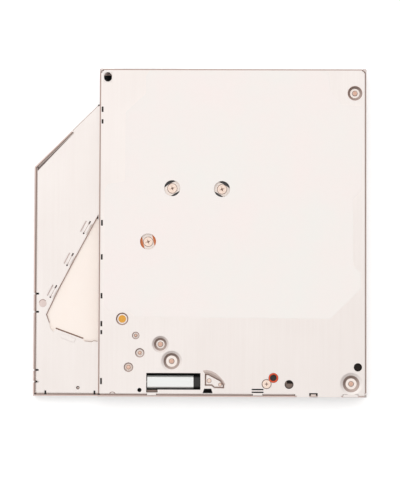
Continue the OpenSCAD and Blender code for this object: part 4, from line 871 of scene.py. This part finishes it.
@dataclass
class Underside(SubAssembly):
    """The small features of the base sheet's face: slots, rims, rivets, straps and rings, many of
    them carrying painted shade.
    """

    dish_low: float = 8.52
    gear_low: float = 9.07
    slots: tuple[Spot, ...] = ((110.35, 2.0), (105.65, 1.6), (66.55, 2.1), (53.45, 2.0),
                               (38.55, 2.0), (27.85, 2.0), (24.6, 1.5), (5.9, 2.3))
    dishes: tuple[tuple[float, float, float, float], ...] = (
        (-10.55, -49.46, 3.05, 2.2), (-14.88, -43.0, 2.4, 1.6), (58.11, -57.88, 3.14, 2.13),
        (59.57, 53.69, 2.6, 1.85))
    gear_seats: tuple[tuple[float, float, float, float, float, float], ...] = (
        (-22.747, -46.289, 1.6, 1.3, 0.85, 0.58), (-27.056, -51.806, 1.65, 1.4, 1.1, 0.78),
        (-24.334, -39.677, 1.3, 1.1, 0.68, 0.5))
    recess: tuple[Spot, ...] = ((40.93, 4.3), (43.46, 4.3), (44.46, 3.44), (48.2, 3.34),
                                (48.3, 4.4), (47.08, 6.32), (42.24, 8.84), (40.93, 8.84))
    slope_foot: tuple[Spot, ...] = ((40.93, 8.84), (41.6, 8.84), (43.3, 8.29), (45.07, 7.37),
                                    (46.6, 6.57), (47.4, 5.82), (48.1, 4.71))
    slope_top: tuple[Spot, ...] = ((40.07, 10.05), (41.6, 10.3), (43.3, 9.96), (45.07, 9.1),
                                   (46.8, 7.55), (48.0, 6.17), (48.7, 4.96))
    straps: tuple[tuple[Spot, Spot], ...] = (
        ((-42.53, 3.83), (-44.84, -0.32)), ((-49.05, -8.57), (-51.2, -12.69)),
        ((-55.42, -20.99), (-57.53, -25.02)))

    def build(self) -> None:
        """Makes the features and dresses them."""
        self.openings()
        self.round_seats()
        self.lever_recess()
        self.wing_window()
        self.front_details()

    def openings(self) -> None:
        """Dark inserts of painted shadow in the slots by the step, dark cups of painted shadow in
        two holes, and the rear hole's collar.
        """
        lining, collar = Bench(), Bench()
        # painted shadow: dark inserts flush in the slots, and dark cups under two holes
        for y, long in self.slots:
            middle = FRONT_LEFT[1] + y
            for x0, x1, grow, z0, z1, edge in ((-37.78, -37.27, -0.02, 9.0, 9.3, 0.04),
                                               (-37.88, -37.17, 0.04, FACE, FACE + 0.012, 0.0)):
                lining.block((x0, middle - long / 2 - grow, z0), (x1, middle + long / 2 + grow, z1),
                             edge, steps=1)
        for x, y, r in ((34.37, -58.18, 1.68), (60.67, -51.54, 1.57)):
            lining.turned([(0.0, 7.7), (r + 0.1, 7.7), (r + 0.1, 8.8), (r - 0.03, 8.8),
                           (r - 0.1, 7.9), (0.0, 7.9)], 48, about(x, y), closed=False)
        x, y = FRONT_LEFT[0] + 3.17, 63.05 - 3.24
        for sx, sy in ((1, 1), (-1, 1), (-1, -1), (1, -1)):
            arc = [(x + sx * (0.04 + u), y + sy * (0.34 + v))
                   for u, v in (polar(1.4, a) for a in range(0, 91, 15))]
            corner = [(x + sx * 1.48, y + sy * 1.78)] + arc
            collar.plate(corner if sx * sy > 0 else corner[::-1], 8.84, FACE - 0.02)
        self.keep("slot_shadow_inserts", lining, SHADOW_GAP, "black_plastic")
        self.keep("rear_hole_collar", collar, BASE_STEEL, "base_steel")
        # grey-brown fills in the holes: painted shade for their dim insides
        shelf = Bench()
        shelf.plate([polar(1.5, a) for a in range(170, 371, 20)], 7.92, 8.35, 0.08,
                    about(34.4, -58.15))
        shelf.block((-1.55, -0.35, 7.92), (-0.9, 0.75, 8.75), 0.1, about(34.4, -58.0, 0, -12))
        shelf.block((-20.05, -61.3, 8.2), (-16.1, -60.45, 8.6), 0.08)
        self.keep("hole_shade_fills", shelf, HOLE_SHADE, "small_steel")

    def round_seats(self) -> None:
        """Dish slopes and rings round the post heads in painted shade, the heads' own domes, and
        washers that carry painted light.
        """
        slopes, rings, heads, washers = Bench(), Bench(), Bench(), Bench()
        for x, y, wide, flat in self.dishes:
            place = about(x, y, self.dish_low)
            # painted shade on the dish's slope
            slopes.turned([(flat + 0.04, 0.012), (wide + 0.05, 0.615), (wide + 0.03, 0.645),
                           (flat - 0.02, 0.04)], 72, place)
            # a ring of painted shade round the post head
            rings.band(0.92, 1.06, 0.0, 0.03, 40, place, (0.02, 0.01))
            heads.turned([(0.0, 0.42), (0.24, 0.46), (0.36, 0.38), (0.52, 0.45), (0.74, 0.42),
                          (0.88, 0.31), (0.0, 0.31)], 40, place, closed=False)
            # washers in the brightened bracket sheet: painted light on the dish floors
            washers.turned([(1.16, 0.0), (flat - 0.1, 0.0), (flat - 0.2, 0.07), (1.24, 0.07)], 64,
                           place)
        for x, y, wide, flat, head, mark in self.gear_seats:
            place = about(x, y, self.gear_low)
            slopes.turned([(flat + 0.03, 0.01), (wide + 0.1, 0.2475), (wide + 0.08, 0.2775),
                           (flat - 0.02, 0.04)], 64, place)
            # rings of painted shade round the gear post's head and its screw mark
            rings.band(head + 0.02, head + 0.12, 0.0, 0.03, 40, place)
            rings.band(mark - 0.09, mark + 0.09, 0.25, 0.29, 36, place)
            heads.turned([(0.0, 0.35), (0.6 * mark, 0.33), (mark - 0.1, 0.27),
                          (mark - 0.1, 0.255), (0.0, 0.255)], 30, place, closed=False)
        self.keep("dish_slope_shades", slopes, DISH_SLOPE_SHADE, "base_steel")
        self.keep("head_shade_rings", rings, RING_SHADE, "black_plastic")
        self.keep("post_heads", heads, RIVET, "small_steel")
        self.keep("post_washers", washers, LIT_BRACKET_STEEL, "small_steel")

    def lever_recess(self) -> None:
        """The D-shaped recess: its pressed slopes in painted shade, and the lever sheet, its
        outline of painted shade, and rivets in it.
        """
        floor_z, edge_z, sheet_z = 8.93, 8.945, 8.98
        outline = [shifted(x, y) for x, y in self.recess]
        liner, bench = bmesh.new(), Bench()
        floor = liner.faces.new([liner.verts.new((x, y, FACE + 0.005)) for x, y in outline])
        liner.normal_update()
        bmesh.ops.inset_region(liner, faces=[floor], thickness=0.4, depth=-0.5,
                               use_boundary=True, use_even_offset=True)
        bmesh.ops.solidify(liner, geom=liner.faces[:], thickness=0.02)
        bench.join(liner)
        self.keep("recess_liner", bench, RECESS_SLOPE, "base_steel")
        for name, reach, high, finish in (("recess_slope", 1.0, 0.01, RECESS_SHADE),
                                          ("recess_slope_foot", 0.5, 0.016, RECESS_FOOT)):
            bench = Bench()
            outer = [(x + reach * (u - x), y + reach * (v - y))
                     for (x, y), (u, v) in zip(self.slope_foot, self.slope_top)]
            bench.plate([shifted(x, y) for x, y in (*self.recess[4:], *outer)], FACE,
                        FACE + high)
            self.keep(name, bench, finish, "base_steel")
        trim, sheet, rivets = Bench(), Bench(), Bench()
        # painted shade: a dark outline under the lever sheet and rings round its rivets
        trim.plate(outline, floor_z, edge_z, inset=0.34)
        sheet.plate(outline, edge_z, sheet_z, inset=0.5)
        for x, y, r in ((3.82, -56.87, 0.72), (8.02, -58.33, 0.52)):
            place = about(x, y, sheet_z)
            rivets.turned([(0.0, 0.18), (r * 0.4, 0.2), (r * 0.6, 0.12), (r * 0.8, 0.16),
                           (r, 0.0), (0.0, 0.0)], 36, place, closed=False)
            trim.band(r + 0.02, r + 0.18, 0.0, 0.03, 36, place, (0.01, 0.02))
        self.keep("recess_lever_edge_shade", trim, GAP_SHADE, "small_steel")
        self.keep("recess_lever", sheet, BASE_STEEL, "small_steel")
        self.keep("recess_rivets", rivets, WARM_STEEL, "small_steel")

    def wing_window(self) -> None:
        """Painted shade along the edge of the wing's window and on its straps, painted shadow at
        the straps' ends, and the marks round it, some of them painted shade too.
        """
        edge, dark, soft = Bench(), Bench(), Bench()
        left = [shifted(x, y) for x, y in ((-0.55, 69.65), (-3.75, 63.63), (-9.05, 53.73),
                                           (-15.65, 41.13), (-20.28, 31.33), (-19.2, 28.3))]
        # painted shade: dark lines along the window's edge, on the straps and round the pressed
        # ring
        edge.line(left, 0.26, 4.98, 5.1)
        edge.line([shifted(x, y) for x, y in ((-5.5, 21.2), (-2.9, 20.87), (-2.0, 21.3),
                                              (-0.6, 21.05))], 0.16, 4.98, 5.1)
        # painted shadow: dark marks in the straps' slits and ends
        dark.block((-0.3, -0.65, 4.98), (0.25, 0.45, 5.14), 0.1, about(-39.3, 5.9, 0, -28))
        for upper, lower in self.straps:
            dark.block((-0.62, -0.26, 0.0), (0.62, 0.26, 0.02),
                       at=about(*upper, WING_FACE, 61))
            dark.turned([(0.0, 0.0), (0.34, 0.0), (0.34, 0.02), (0.0, 0.02)], 20,
                        about(*lower, WING_FACE), closed=False)
            edge.line([upper, lower], 0.13, 5.56, 5.575)
        for x, y in ((-5.05, 64.8), (-11.35, 52.45), (-17.75, 40.05)):
            soft.block((-2.27, 1.17, 4.75), (2.27, 1.53, 5.27), 0.06,
                       about(*shifted(x, y), 0, 62.35), 1)
        edge.plate(sector(-60.42, -27.35, 1.12, 1.5, 35, 175), WING_FACE, WING_FACE + 0.015)
        soft.turned([(0.0, 0.03), (1.3, 0.03), (1.42, 0.0), (0.0, 0.0)], 48,
                    about(-60.42, -27.48, WING_FACE), closed=False)
        edge.line([(-49.4, 39.35), (-39.1, 49.5)], 0.16, WING_FACE, WING_FACE + 0.015)
        dark.block((-0.3, -0.3, 0.0), (0.3, 0.3, 0.02), 0.0, about(-39.25, 49.3, WING_FACE))
        self.keep("window_edge_shade", edge, GAP_SHADE, "base_steel")
        self.keep("strap_end_shadows", dark, SHADOW_GAP, "black_plastic")
        self.keep("strap_fillers", soft, BOSS, "base_steel")

    def front_details(self) -> None:
        """The front screw's ring and cross and a half-round notch, drawn in painted shade, a tab,
        and a locating pin.
        """
        rings, marks, tab = Bench(), Bench(), Bench()
        # painted shade: a dark ring and cross on the front screw, and a dark half ring at the notch
        rings.band(1.6, 1.84, 0.0, 0.04, 48, about(25.8, -58.06, 9.12), (0.02, 0.02))
        marks.cross(0.6, 0.13, 0.0, 0.02, about(25.8, -58.06, 9.31))
        rings.plate(sector(-33.16, -61.95, 0.78, 1.1, 0, 180, 0.7), FACE, FACE + 0.015)
        tab.block((42.65, -62.9, 8.95), (44.75, -61.85, 9.3), 0.12)
        tab.turned([(0.0, 0.3), (0.28, 0.28), (0.44, 0.14), (0.46, 0.0), (0.0, 0.0)], 28,
                   about(-46.64, -59.9, 4.8), closed=False)
        lip = Bench()
        lip.turned([(1.3, 8.9), (1.72, 8.9), (1.74, 9.18), (1.6, 9.26), (1.36, 9.2)], 56,
                   about(28.36, -55.64))
        self.keep("screw_cross_shade", marks, RING_SHADE, "black_plastic")
        self.keep("screw_ring_shade", rings, RING_SHADE, "black_plastic")
        self.keep("front_tab_and_pin", tab, TAB, "base_steel")
        self.keep("damper_lip", lip, RUBBER, "insulator_rubber")


@dataclass
class Electronics(SubAssembly):
    """The main board with its chips, their legs, small parts and connectors."""

    under: float = 7.2
    controller: tuple[float, float, float, float] = (36, 101, 12, 1.2)
    drivers: tuple[tuple[float, float, float, float], ...] = ((18, 100, 7, 1), (56, 100, 7, 1))

    def build(self) -> None:
        """Dresses the board's nodes and adds what is soldered to it."""
        self.dress({BOARD: "main_board", CHIP: "controller_chip driver_chips",
                    FLEX_SOCKET: "board_connectors", CONNECTOR: "sata_connector",
                    CONTACT: "sata_contacts", BLACK_PLASTIC: "detect_switch"})
        self.legs()
        self.small_parts()
        self.socket_latches()

    def legs(self) -> None:
        """Bent tinned legs on all four sides of each chip."""
        bench = Bench()
        for x, y, size, high in (self.controller, *self.drivers):
            cx, cy = shifted(x + size / 2, y + size / 2)
            count, foot = round(size / 0.62), -high * 0.6
            for side in range(4):
                place = about(cx, cy, self.under, 90 * side)
                for k in range(count):
                    s = (k - (count - 1) / 2) * 0.55
                    for x0, x1, z0, z1 in ((-0.02, 0.3, foot, foot + 0.1),
                                           (0.22, 0.3, foot, -0.02), (0.22, 0.65, -0.1, 0.0)):
                        bench.block((size / 2 + x0, s - 0.11, z0), (size / 2 + x1, s + 0.11, z1),
                                    at=place)
        self.keep("chip_legs", bench, SOLDER, "contact")

    def small_parts(self) -> None:
        """Ceramic capacitors, resistors, their solder ends, and a crystal in its can."""
        bodies, dark, ends = Bench(), Bench(), Bench()
        spots = [(12 + 1.9 * (k % 7), 110.5 + 2.7 * (k // 7), k % 3) for k in range(14)]
        spots += [(52 + 1.8 * (k % 2), 102 + 2.4 * (k // 2), (k + 1) % 3) for k in range(8)]
        spots += [(66 + 2.1 * (k % 8), 104 + 2.8 * (k // 8), (k * 2) % 3) for k in range(32)]
        for k, (x, y, kind) in enumerate(spots):
            place = about(*shifted(x, y), self.under, 90 * (k % 2))
            high = 0.5 if kind == 2 else 0.75
            (dark if kind == 2 else bodies).block((-0.42, -0.33, -high), (0.42, 0.33, -0.03), 0.05,
                                                  place, 1)
            for s in (-1, 1):
                ends.block((s * 0.58 - 0.17, -0.36, -high - 0.03), (s * 0.58 + 0.17, 0.36, 0.0),
                           0.05, place, 1)
        self.keep("ceramic_capacitors", bodies, CERAMIC, "chip")
        self.keep("chip_resistors", dark, RESISTOR, "chip")
        self.keep("solder_ends", ends, SOLDER, "contact")
        crystal = Bench()
        x, y = shifted(31, 113)
        crystal.block((x - 2.5, y - 1.6, self.under - 0.9), (x + 2.5, y + 1.6, self.under - 0.02),
                      0.3)
        crystal.block((x - 2.9, y - 1.9, self.under - 0.15), (x + 2.9, y + 1.9, self.under), 0.05)
        self.keep("crystal_can", crystal, SMALL_STEEL, "small_steel")

    def socket_latches(self) -> None:
        """The flip-up latches and the contact rows of the two flex sockets."""
        latches, pins = Bench(), Bench()
        for x in (30, 68):
            x0, y0 = shifted(x, 94.5)
            z0 = self.under - 1.4
            latches.block((x0 + 0.4, y0 - 0.35, z0 + 0.1), (x0 + 13.6, y0 + 0.9, z0 + 0.75), 0.12)
            for s in (0.0, 13.2):
                latches.block((x0 + s, y0 - 0.2, z0 + 0.2), (x0 + s + 0.8, y0 + 1.6, z0 + 1.2), 0.1)
            for k in range(24):
                px = x0 + 1.25 + 0.5 * k
                pins.block((px - 0.09, y0 + 3.4, self.under - 0.35),
                           (px + 0.09, y0 + 4.15, self.under - 0.02))
        self.keep("socket_latches", latches, BLACK_PLASTIC, "black_plastic")
        self.keep("socket_pins", pins, CONTACT, "contact")


@dataclass
class LoadingDrive(SubAssembly):
    """The loading motor, its worm, the gear train and the slider that it drives."""

    worm_y: float = -57.4055
    motor_z: float = 6.8
    motor_end: float = -2.15
    posts: tuple[tuple[float, float, float], ...] = ((-22.747, -46.289, 7.23),
                                                     (-27.056, -51.806, 7.23))

    def build(self) -> None:
        """Dresses the drive's nodes and adds terminals and retaining clips."""
        self.dress({MOTOR_CAN: "loading_motor", WARM_STEEL: "gear_posts", WORM_STEEL: "worm",
                    BLACK_PLASTIC: "motor_end_cap worm_bearing main_slider",
                    GEAR_PLASTIC: "worm_wheel second_gear", WARM_GEAR: "first_gear rack_gear",
                    BUSH_BRASS: "rack_gear_bush"})
        self.terminals()
        self.clips()

    def terminals(self) -> None:
        """Two gilt tabs with solder beads on the motor's end cap."""
        tabs, beads = Bench(), Bench()
        for s in (-1, 1):
            y = self.worm_y + s * 1.0
            x = self.motor_end + 2.55
            for long, low in ((0.18, -0.6), (0.8, 1.1)):
                tabs.block((x, y - 0.35, self.motor_z + low),
                           (x + long, y + 0.35, self.motor_z + 1.3), 0.04)
            beads.turned([(0.0, 0.42), (0.2, 0.36), (0.34, 0.2), (0.36, 0.0), (0.0, 0.0)], 16,
                         about(x + 0.5, y, self.motor_z + 1.28))
        self.keep("motor_terminals", tabs, CONTACT, "contact")
        self.keep("motor_solder", beads, SOLDER, "contact", smooth=True)

    def clips(self) -> None:
        """Spring clips that hold the two lower gears on their posts."""
        bench = Bench()
        for k, (x, y, z) in enumerate(self.posts):
            bench.clip((x, y, z), 0.95, 0.15, 40 + 95 * k)
        self.keep("gear_clips", bench, SMALL_STEEL, "small_steel")


@dataclass
class Levers(SubAssembly):
    """The disc levers, their posts and their coil springs."""

    pivots: tuple[tuple[float, float, float], ...] = ((-14.88, -43.0, 200), (58.11, -57.88, 40),
                                                      (59.57, 53.69, 300))
    spring_low: float = 4.75
    spring_long: float = 2.4
    spring_r: float = 1.26
    wire_r: float = 0.13

    def build(self) -> None:
        """Dresses the levers and winds their springs."""
        self.dress({LEVER_CREAM: "side_lever", TURNED_STEEL: "lever_posts post_rings",
                    SMALL_STEEL: "trigger_lever switch_lever front_lever eject_lever",
                    ROLLER: "side_lever_roller front_lever_roller eject_lever_pad"})
        # painted shade: a dark plate standing for the shade in the side lever's slit
        slit = Bench()
        slit.plate([(-5.6, -0.24), (5.6, -0.24), (5.75, 0.0), (5.6, 0.24), (-5.6, 0.24),
                    (-5.75, 0.0)], 4.605, 4.64, 0.0, about(*shifted(-11.38, 24.12), 0, -20.07))
        self.keep("side_lever_slit_shade", slit, RING_SHADE, "black_plastic", "side_arm")
        bench = Bench()
        r, long = self.spring_r, self.spring_long
        for x, y, turn in self.pivots:
            place = about(x, y, self.spring_low, turn)
            bench.coil(r, self.wire_r, long, 6.5, place)
            for start, end in (((r, 0, 0), (r, -4.0, -0.05)), ((-r, 0, long), (-r, -3.6, long))):
                bench.rod(start, end, self.wire_r, sides=8, at=place)
        springs = self.keep("lever_coils", bench, SPRING_WIRE, "small_steel", smooth=True)
        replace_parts(springs, "lever_springs")


@dataclass
class Traverse(SubAssembly):
    """The tilting frame with its dampers, rails, feed motor and lead screw."""

    body: str = "traverse"
    feed_n: float = 17.9
    feed_z: float = 6.1
    screw_start: float = 15.0
    screw_end: float = 57.0
    thread: float = 38.0
    screw_r: float = 0.9
    lead: float = 3.0
    bracket_low: float = 6.2
    bracket_high: float = 6.6
    film_top: float = 6.75
    screw_circle: float = 18.95
    screw_angles: tuple[float, ...] = (119.5, 58.9, 192.3)

    def build(self) -> None:
        """Dresses the frame's nodes and cuts the lead screw's thread."""
        self.dress({FRAME_METAL: "traverse_frame", RUBBER: "insulators", MOTOR_CAN: "feed_motor",
                    BLACK_PLASTIC: "insulator_pins screw_bearings", SMALL_STEEL: "rail_clips",
                    WARM_STEEL: "bracket_screws", GROUND_STEEL: "guide_rails"})
        self.bracket()
        self.lead_screw()
        self.feed_parts()

    def bracket(self) -> None:
        """The disc motor's bracket, a ring on three ears, with its film and its screws' marks in
        painted shade.
        """
        base = traverse_place()
        plate, film, marks = Bench(base), Bench(base), Bench(base)
        low, high = self.bracket_low, self.bracket_high
        plate.band(2.25, 15.3, low, high, 72, taper=(0.0, 0.0))
        plate.plate(sector(0, 0, 16.85, 20.95, 82, 262), low, high)
        for angle in (90, 132, 208, 252):
            plate.block((15.0, -2.2, low), (17.2, 2.2, high), at=about(0, 0, 0, angle))
        film.band(3.1, 14.6, high + 0.01, self.film_top, 64, taper=(0.0, 0.0))
        local = [world - DIAGONAL for world in self.screw_angles]
        for near, far, z0, z1 in ((14.3, 16.9, high + 0.01, self.film_top),
                                  (20.8, 22.6, 6.4, 6.5)):
            film.block((near, -3.2, z0), (far, 3.2, z1), 0.03, about(0, 0, 0, local[2]), 1)
        for turn in local:
            place = (about(0, 0, 0, turn)
                     @ about(self.screw_circle, 0, high, 20 - DIAGONAL - turn))
            # painted shade: a dark ring and cross on each bracket screw, and a ring inside them
            marks.band(1.76, 1.94, 0.0, 0.04, 44, place, (0.02, 0.02))
            marks.cross(0.62, 0.17, 0.15, 0.18, place)
            marks.band(1.02, 1.12, 0.15, 0.17, 40, place)
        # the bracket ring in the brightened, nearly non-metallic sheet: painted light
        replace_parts(self.keep("bracket_ring", plate, LIT_BRACKET_STEEL, "small_steel"), "spindle_bracket")
        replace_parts(self.keep("motor_film", film, FLEX, "flex_film"), "motor_flex")
        self.keep("bracket_screw_shades", marks, RING_SHADE, "black_plastic")

    def lead_screw(self) -> None:
        """The lead screw with its journals and a single helical thread."""
        bench = Bench(traverse_place())
        axis = (Matrix.Translation((self.screw_start, self.feed_n, self.feed_z))
                @ Matrix.Rotation(math.pi / 2, 4, "Y"))
        length = self.screw_end - self.screw_start
        core = self.screw_r - 0.2
        bench.turned([(0, 0), (0.4, 0), (0.45, 0.05), (0.45, 1.7), (core, 1.8),
                      (core, length - 2.2), (0.45, length - 2.1), (0.45, length), (0, length)],
                     32, axis, closed=False)
        part = bmesh.new()
        ring = [part.verts.new(p) for p in ((core - 0.05, 0, -0.42), (self.screw_r, 0, -0.16),
                                            (self.screw_r, 0, 0.16), (core - 0.05, 0, 0.42))]
        face = part.faces.new(ring)
        climb = self.thread - 1.0
        turns = climb / self.lead
        steps = round(turns * 28)
        bmesh.ops.spin(part, geom=ring + list(part.edges) + [face], cent=(0, 0, 0), axis=(0, 0, 1),
                       angle=math.tau * turns, dvec=(0, 0, climb / steps), steps=steps,
                       use_duplicate=False)
        bmesh.ops.recalc_face_normals(part, faces=part.faces)
        bench.join(part, axis @ Matrix.Translation((0, 0, 2.3)))
        screw = self.keep("lead_screw_thread", bench, TURNED_STEEL, "small_steel", "feed_shaft")
        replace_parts(screw, "lead_screw")

    def feed_parts(self) -> None:
        """Solder tabs on the feed motor and joints on the disc motor's film."""
        place = traverse_place()
        tabs = Bench(place)
        for s in (-1, 1):
            tabs.block((65.1, self.feed_n + s * 1.0 - 0.3, self.feed_z + 0.5),
                       (65.9, self.feed_n + s * 1.0 + 0.3, self.feed_z + 0.7), 0.05)
        self.keep("feed_motor_tabs", tabs, CONTACT, "contact")
        joints = Bench(place)
        for a in range(150, 211, 10):
            joints.turned([(0.0, 0.32), (0.18, 0.26), (0.32, 0.12), (0.34, 0.0), (0.0, 0.0)], 14,
                          about(*polar(12.6, a), self.film_top), closed=False)
        self.keep("film_joints", joints, SOLDER, "contact", smooth=True)


@dataclass
class DiscMotor(SubAssembly):
    """The spindle motor: stator with nine wound coils, rotor, pad and clamping hub."""

    body: str = "rotor"
    arms: int = 9
    coil_start: float = 5.75
    coil_end: float = 8.85

    def build(self) -> None:
        """Dresses the motor's nodes and winds its coils."""
        middle = (SPINDLE[0] * MM, SPINDLE[1] * MM, 0)
        self.dress({
            tinted(TURNED_STEEL, "rotor steel", centre=middle): "spindle_rotor spindle_shaft",
            tinted(BRASS, "sintered bearing", gloss=(0.4, 0.55), centre=middle): "spindle_bearing",
            MAGNET: "rotor_magnet", PAD_RUBBER: "turntable_pad", ROLLER: "chuck_hub",
            CLAW_RESIN: "chuck_claws", LAMINATIONS: "spindle_stator"})
        bench = Bench(traverse_place())
        for k in range(self.arms):
            place = (about(0, 0, 5.0, 40 * k) @ Matrix.Translation((self.coil_start, 0, 0))
                     @ Matrix.Rotation(math.pi / 2, 4, "Y") @ Matrix.Diagonal((0.62, 1.0, 1, 1)))
            bench.coil(1.32, 0.15, self.coil_end - self.coil_start, 10, place, 16, 6)
        self.keep("stator_coils", bench, WINDING, "winding", "traverse", smooth=True)


@dataclass
class Pickup(SubAssembly):
    """The pickup carriage with its lens unit and optics."""

    body: str = "carriage"
    lens_u: float = 23.5
    face: float = 7.1

    def build(self) -> None:
        """Dresses the pickup's nodes and adds its optics and fixings."""
        self.dress({ALLOY: "pickup_body", SMALL_STEEL: "pickup_cover",
                    BLACK_PLASTIC: "lens_holder", LENS: "objective_lens",
                    MAGNET: "focus_magnets"})
        self.optics()
        self.lens_coils()

    def own_place(self) -> Matrix:
        """The place of the pickup's own axes, under the lens."""
        return traverse_place() @ Matrix.Translation((self.lens_u * MM, 0, 0))

    def optics(self) -> None:
        """Laser cans, trim screws, and the detector's film."""
        place = self.own_place()
        cans, screws, film = Bench(place), Bench(place), Bench(place)
        for u in (-4.6, 4.6):
            cans.rod((u, -9.6, self.face), (u, -9.6, 7.75), 1.5, sides=28, edge=0.12)
            cans.rod((u, -9.6, 7.7), (u, -9.6, 7.95), 0.9, sides=24, edge=0.08)
        for u, n in ((-5.6, 8.6), (5.6, 8.6), (0.0, 9.6)):
            screws.rod((u, n, self.face), (u, n, 7.5), 0.75, sides=22, edge=0.12)
            screws.block((u - 0.5, n - 0.09, 7.46), (u + 0.5, n + 0.09, 7.56), 0.02)
        film.block((-3.4, -10.6, self.face), (3.4, -7.2, 7.28), 0.06)
        film.block((-2.6, 6.9, self.face), (2.6, 8.4, 7.24), 0.05)
        self.keep("laser_cans", cans, BRASS, "small_steel")
        self.keep("pickup_trim_screws", screws, TURNED_STEEL, "small_steel")
        self.keep("detector_film", film, FLEX, "flex_film")

    def lens_coils(self) -> None:
        """Flat focus and tracking coils on the lens holder's two ends."""
        bench = Bench(self.own_place())
        for s in (-1, 1):
            for u in (-1.45, 1.45):
                at = (Matrix.Translation((u, s * 3.55, 5.35))
                      @ Matrix.Rotation(-s * math.pi / 2, 4, "X"))
                for k in range(4):
                    bench.coil(0.35 + 0.2 * k, 0.09, 0.0, 1.0, at, 20, 6)
        self.keep("lens_coils", bench, WINDING, "winding", "lens_unit", smooth=True)


@dataclass
class Studio:
    """The floor, lamps, world and camera."""

    lens_px: float = 1768.6
    height_px: float = 500.0
    sensor: float = 36.0
    eye: Point = (0.0071149, -0.0359735, 0.6870715)
    turn: Point = (0.0430, 0.0101, 0.0036)
    floor_reach: float = 1.6
    floor_gap: float = 0.0001
    floor_grey: float = 0.93
    floor_glow: float = 0.26
    mirror_low: tuple[float, ...] = (0.10, 0.07, 0.062, 1)
    mirror_high: tuple[float, ...] = (1.06, 1.06, 1.06, 1)
    key: float = 3.2
    fill: float = 0.5
    sky: float = 0.79

    def build(self) -> None:
        """Sets up everything that lights, holds and sees the drive."""
        self.floor()
        self.world()
        self.lamp("overhead", (-0.16, 0.24, 1.1), self.key, 0.8)
        self.lamp("behind", (0.3, 0.95, 0.6), self.fill, 0.7)
        self.camera()

    def background(self, t: NodeTree, shown, mirrored, lit) -> bpy.types.Node:
        """Mixes three shaders: one that eyes see, one for mirrors and glass, one that lights."""
        path = t.add("LightPath").outputs
        gloss = t.sum_of("MAXIMUM", path["Is Glossy Ray"], path["Is Transmission Ray"])
        near = t.add("MixShader", {0: gloss, 1: lit, 2: mirrored})
        return t.add("MixShader", {0: path["Is Camera Ray"], 1: near.outputs[0], 2: shown})

    def floor(self) -> None:
        """A plain pale floor just under the drive."""
        mesh = bmesh.new()
        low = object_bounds()[0][2]
        bmesh.ops.create_grid(mesh, x_segments=1, y_segments=1, size=self.floor_reach,
                              matrix=Matrix.Translation((0, 0, low - self.floor_gap)))
        data = bpy.data.meshes.new("floor")
        mesh.to_mesh(data)
        mesh.free()
        made = bpy.data.materials.new("pale floor")
        t = fresh_tree(made)
        grey = (self.floor_grey, self.floor_grey, self.floor_grey, 1)
        coat = t.add("BsdfPrincipled", {"Base Color": grey, "Roughness": 0.7})
        glow = t.add("Emission", {"Color": (1, 1, 1, 1), "Strength": self.floor_glow})
        lifted = t.add("AddShader", {0: coat.outputs[0], 1: glow.outputs[0]})
        seen = t.add("LightPath").outputs["Is Camera Ray"]
        mix = t.add("MixShader", {0: seen, 1: coat.outputs[0], 2: lifted.outputs[0]})
        t.add("OutputMaterial", {"Surface": mix.outputs[0]})
        data.materials.append(made)
        placed("floor", data)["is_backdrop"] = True

    def world(self) -> None:
        """White where it is seen, and a plain soft light where it lights."""
        world = bpy.data.worlds.new("studio")
        bpy.context.scene.world = world
        t = fresh_tree(world)
        way = t.add("SeparateXYZ", {0: t.add("TexCoord").outputs["Generated"]}).outputs
        lean = t.sum_of("ADD", t.sum_of("MULTIPLY", way[1], 0.45),
                        t.sum_of("MULTIPLY", way[0], -0.25))
        rise = t.span(t.sum_of("ADD", way[2], lean), 0.15, 1.08, 0.0, 1.0)
        tint = t.mix(rise, self.mirror_low, self.mirror_high)
        shown, mirrored, lit = (
            t.add("Background", {"Color": colour, "Strength": strength}).outputs[0]
            for colour, strength in (((1, 1, 1, 1), 1.0), (tint, 1.0),
                                     ((1, 0.99, 0.98, 1), self.sky)))
        mix = self.background(t, shown, mirrored, lit)
        t.add("OutputWorld", {"Surface": mix.outputs[0]})

    def lamp(self, name: str, place: Point, watts: float, size: float) -> None:
        """Adds a square soft lamp that faces the drive and isn't itself seen."""
        data = bpy.data.lights.new(name, "AREA")
        data.energy = watts
        data.size = size
        lamp = placed(name, data)
        lamp.location = place
        lamp.rotation_euler = (-Vector(place)).to_track_quat("-Z", "Y").to_euler()
        lamp.visible_camera = False
        lamp.visible_glossy = False

    def camera(self) -> None:
        """The camera at the photograph's place, with a lens worked out for a frame 500 pixels high.
        """
        data = bpy.data.cameras.new("photo camera")
        data.sensor_fit = "VERTICAL"
        data.sensor_height = self.sensor
        data.lens = self.lens_px / self.height_px * self.sensor
        data.clip_start = 0.01
        camera = placed("photo camera", data)
        camera.location = self.eye
        camera.rotation_euler = self.turn
        bpy.context.scene.camera = camera
        bpy.context.scene.view_settings.view_transform = "Standard"


def main() -> None:
    """Builds and dresses the sub-assemblies in order, then sets up the studio."""
    logging.basicConfig(level=logging.INFO, format="%(name)s: %(message)s")
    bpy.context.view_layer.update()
    for part in (Housing(), Seams(), Underside(), Electronics(), LoadingDrive(), Levers(),
                 Traverse(), DiscMotor(), Pickup()):
        part.build()
        part.report()
    bpy.context.view_layer.update()
    Studio().build()


if __name__ == "__main__":
    main()
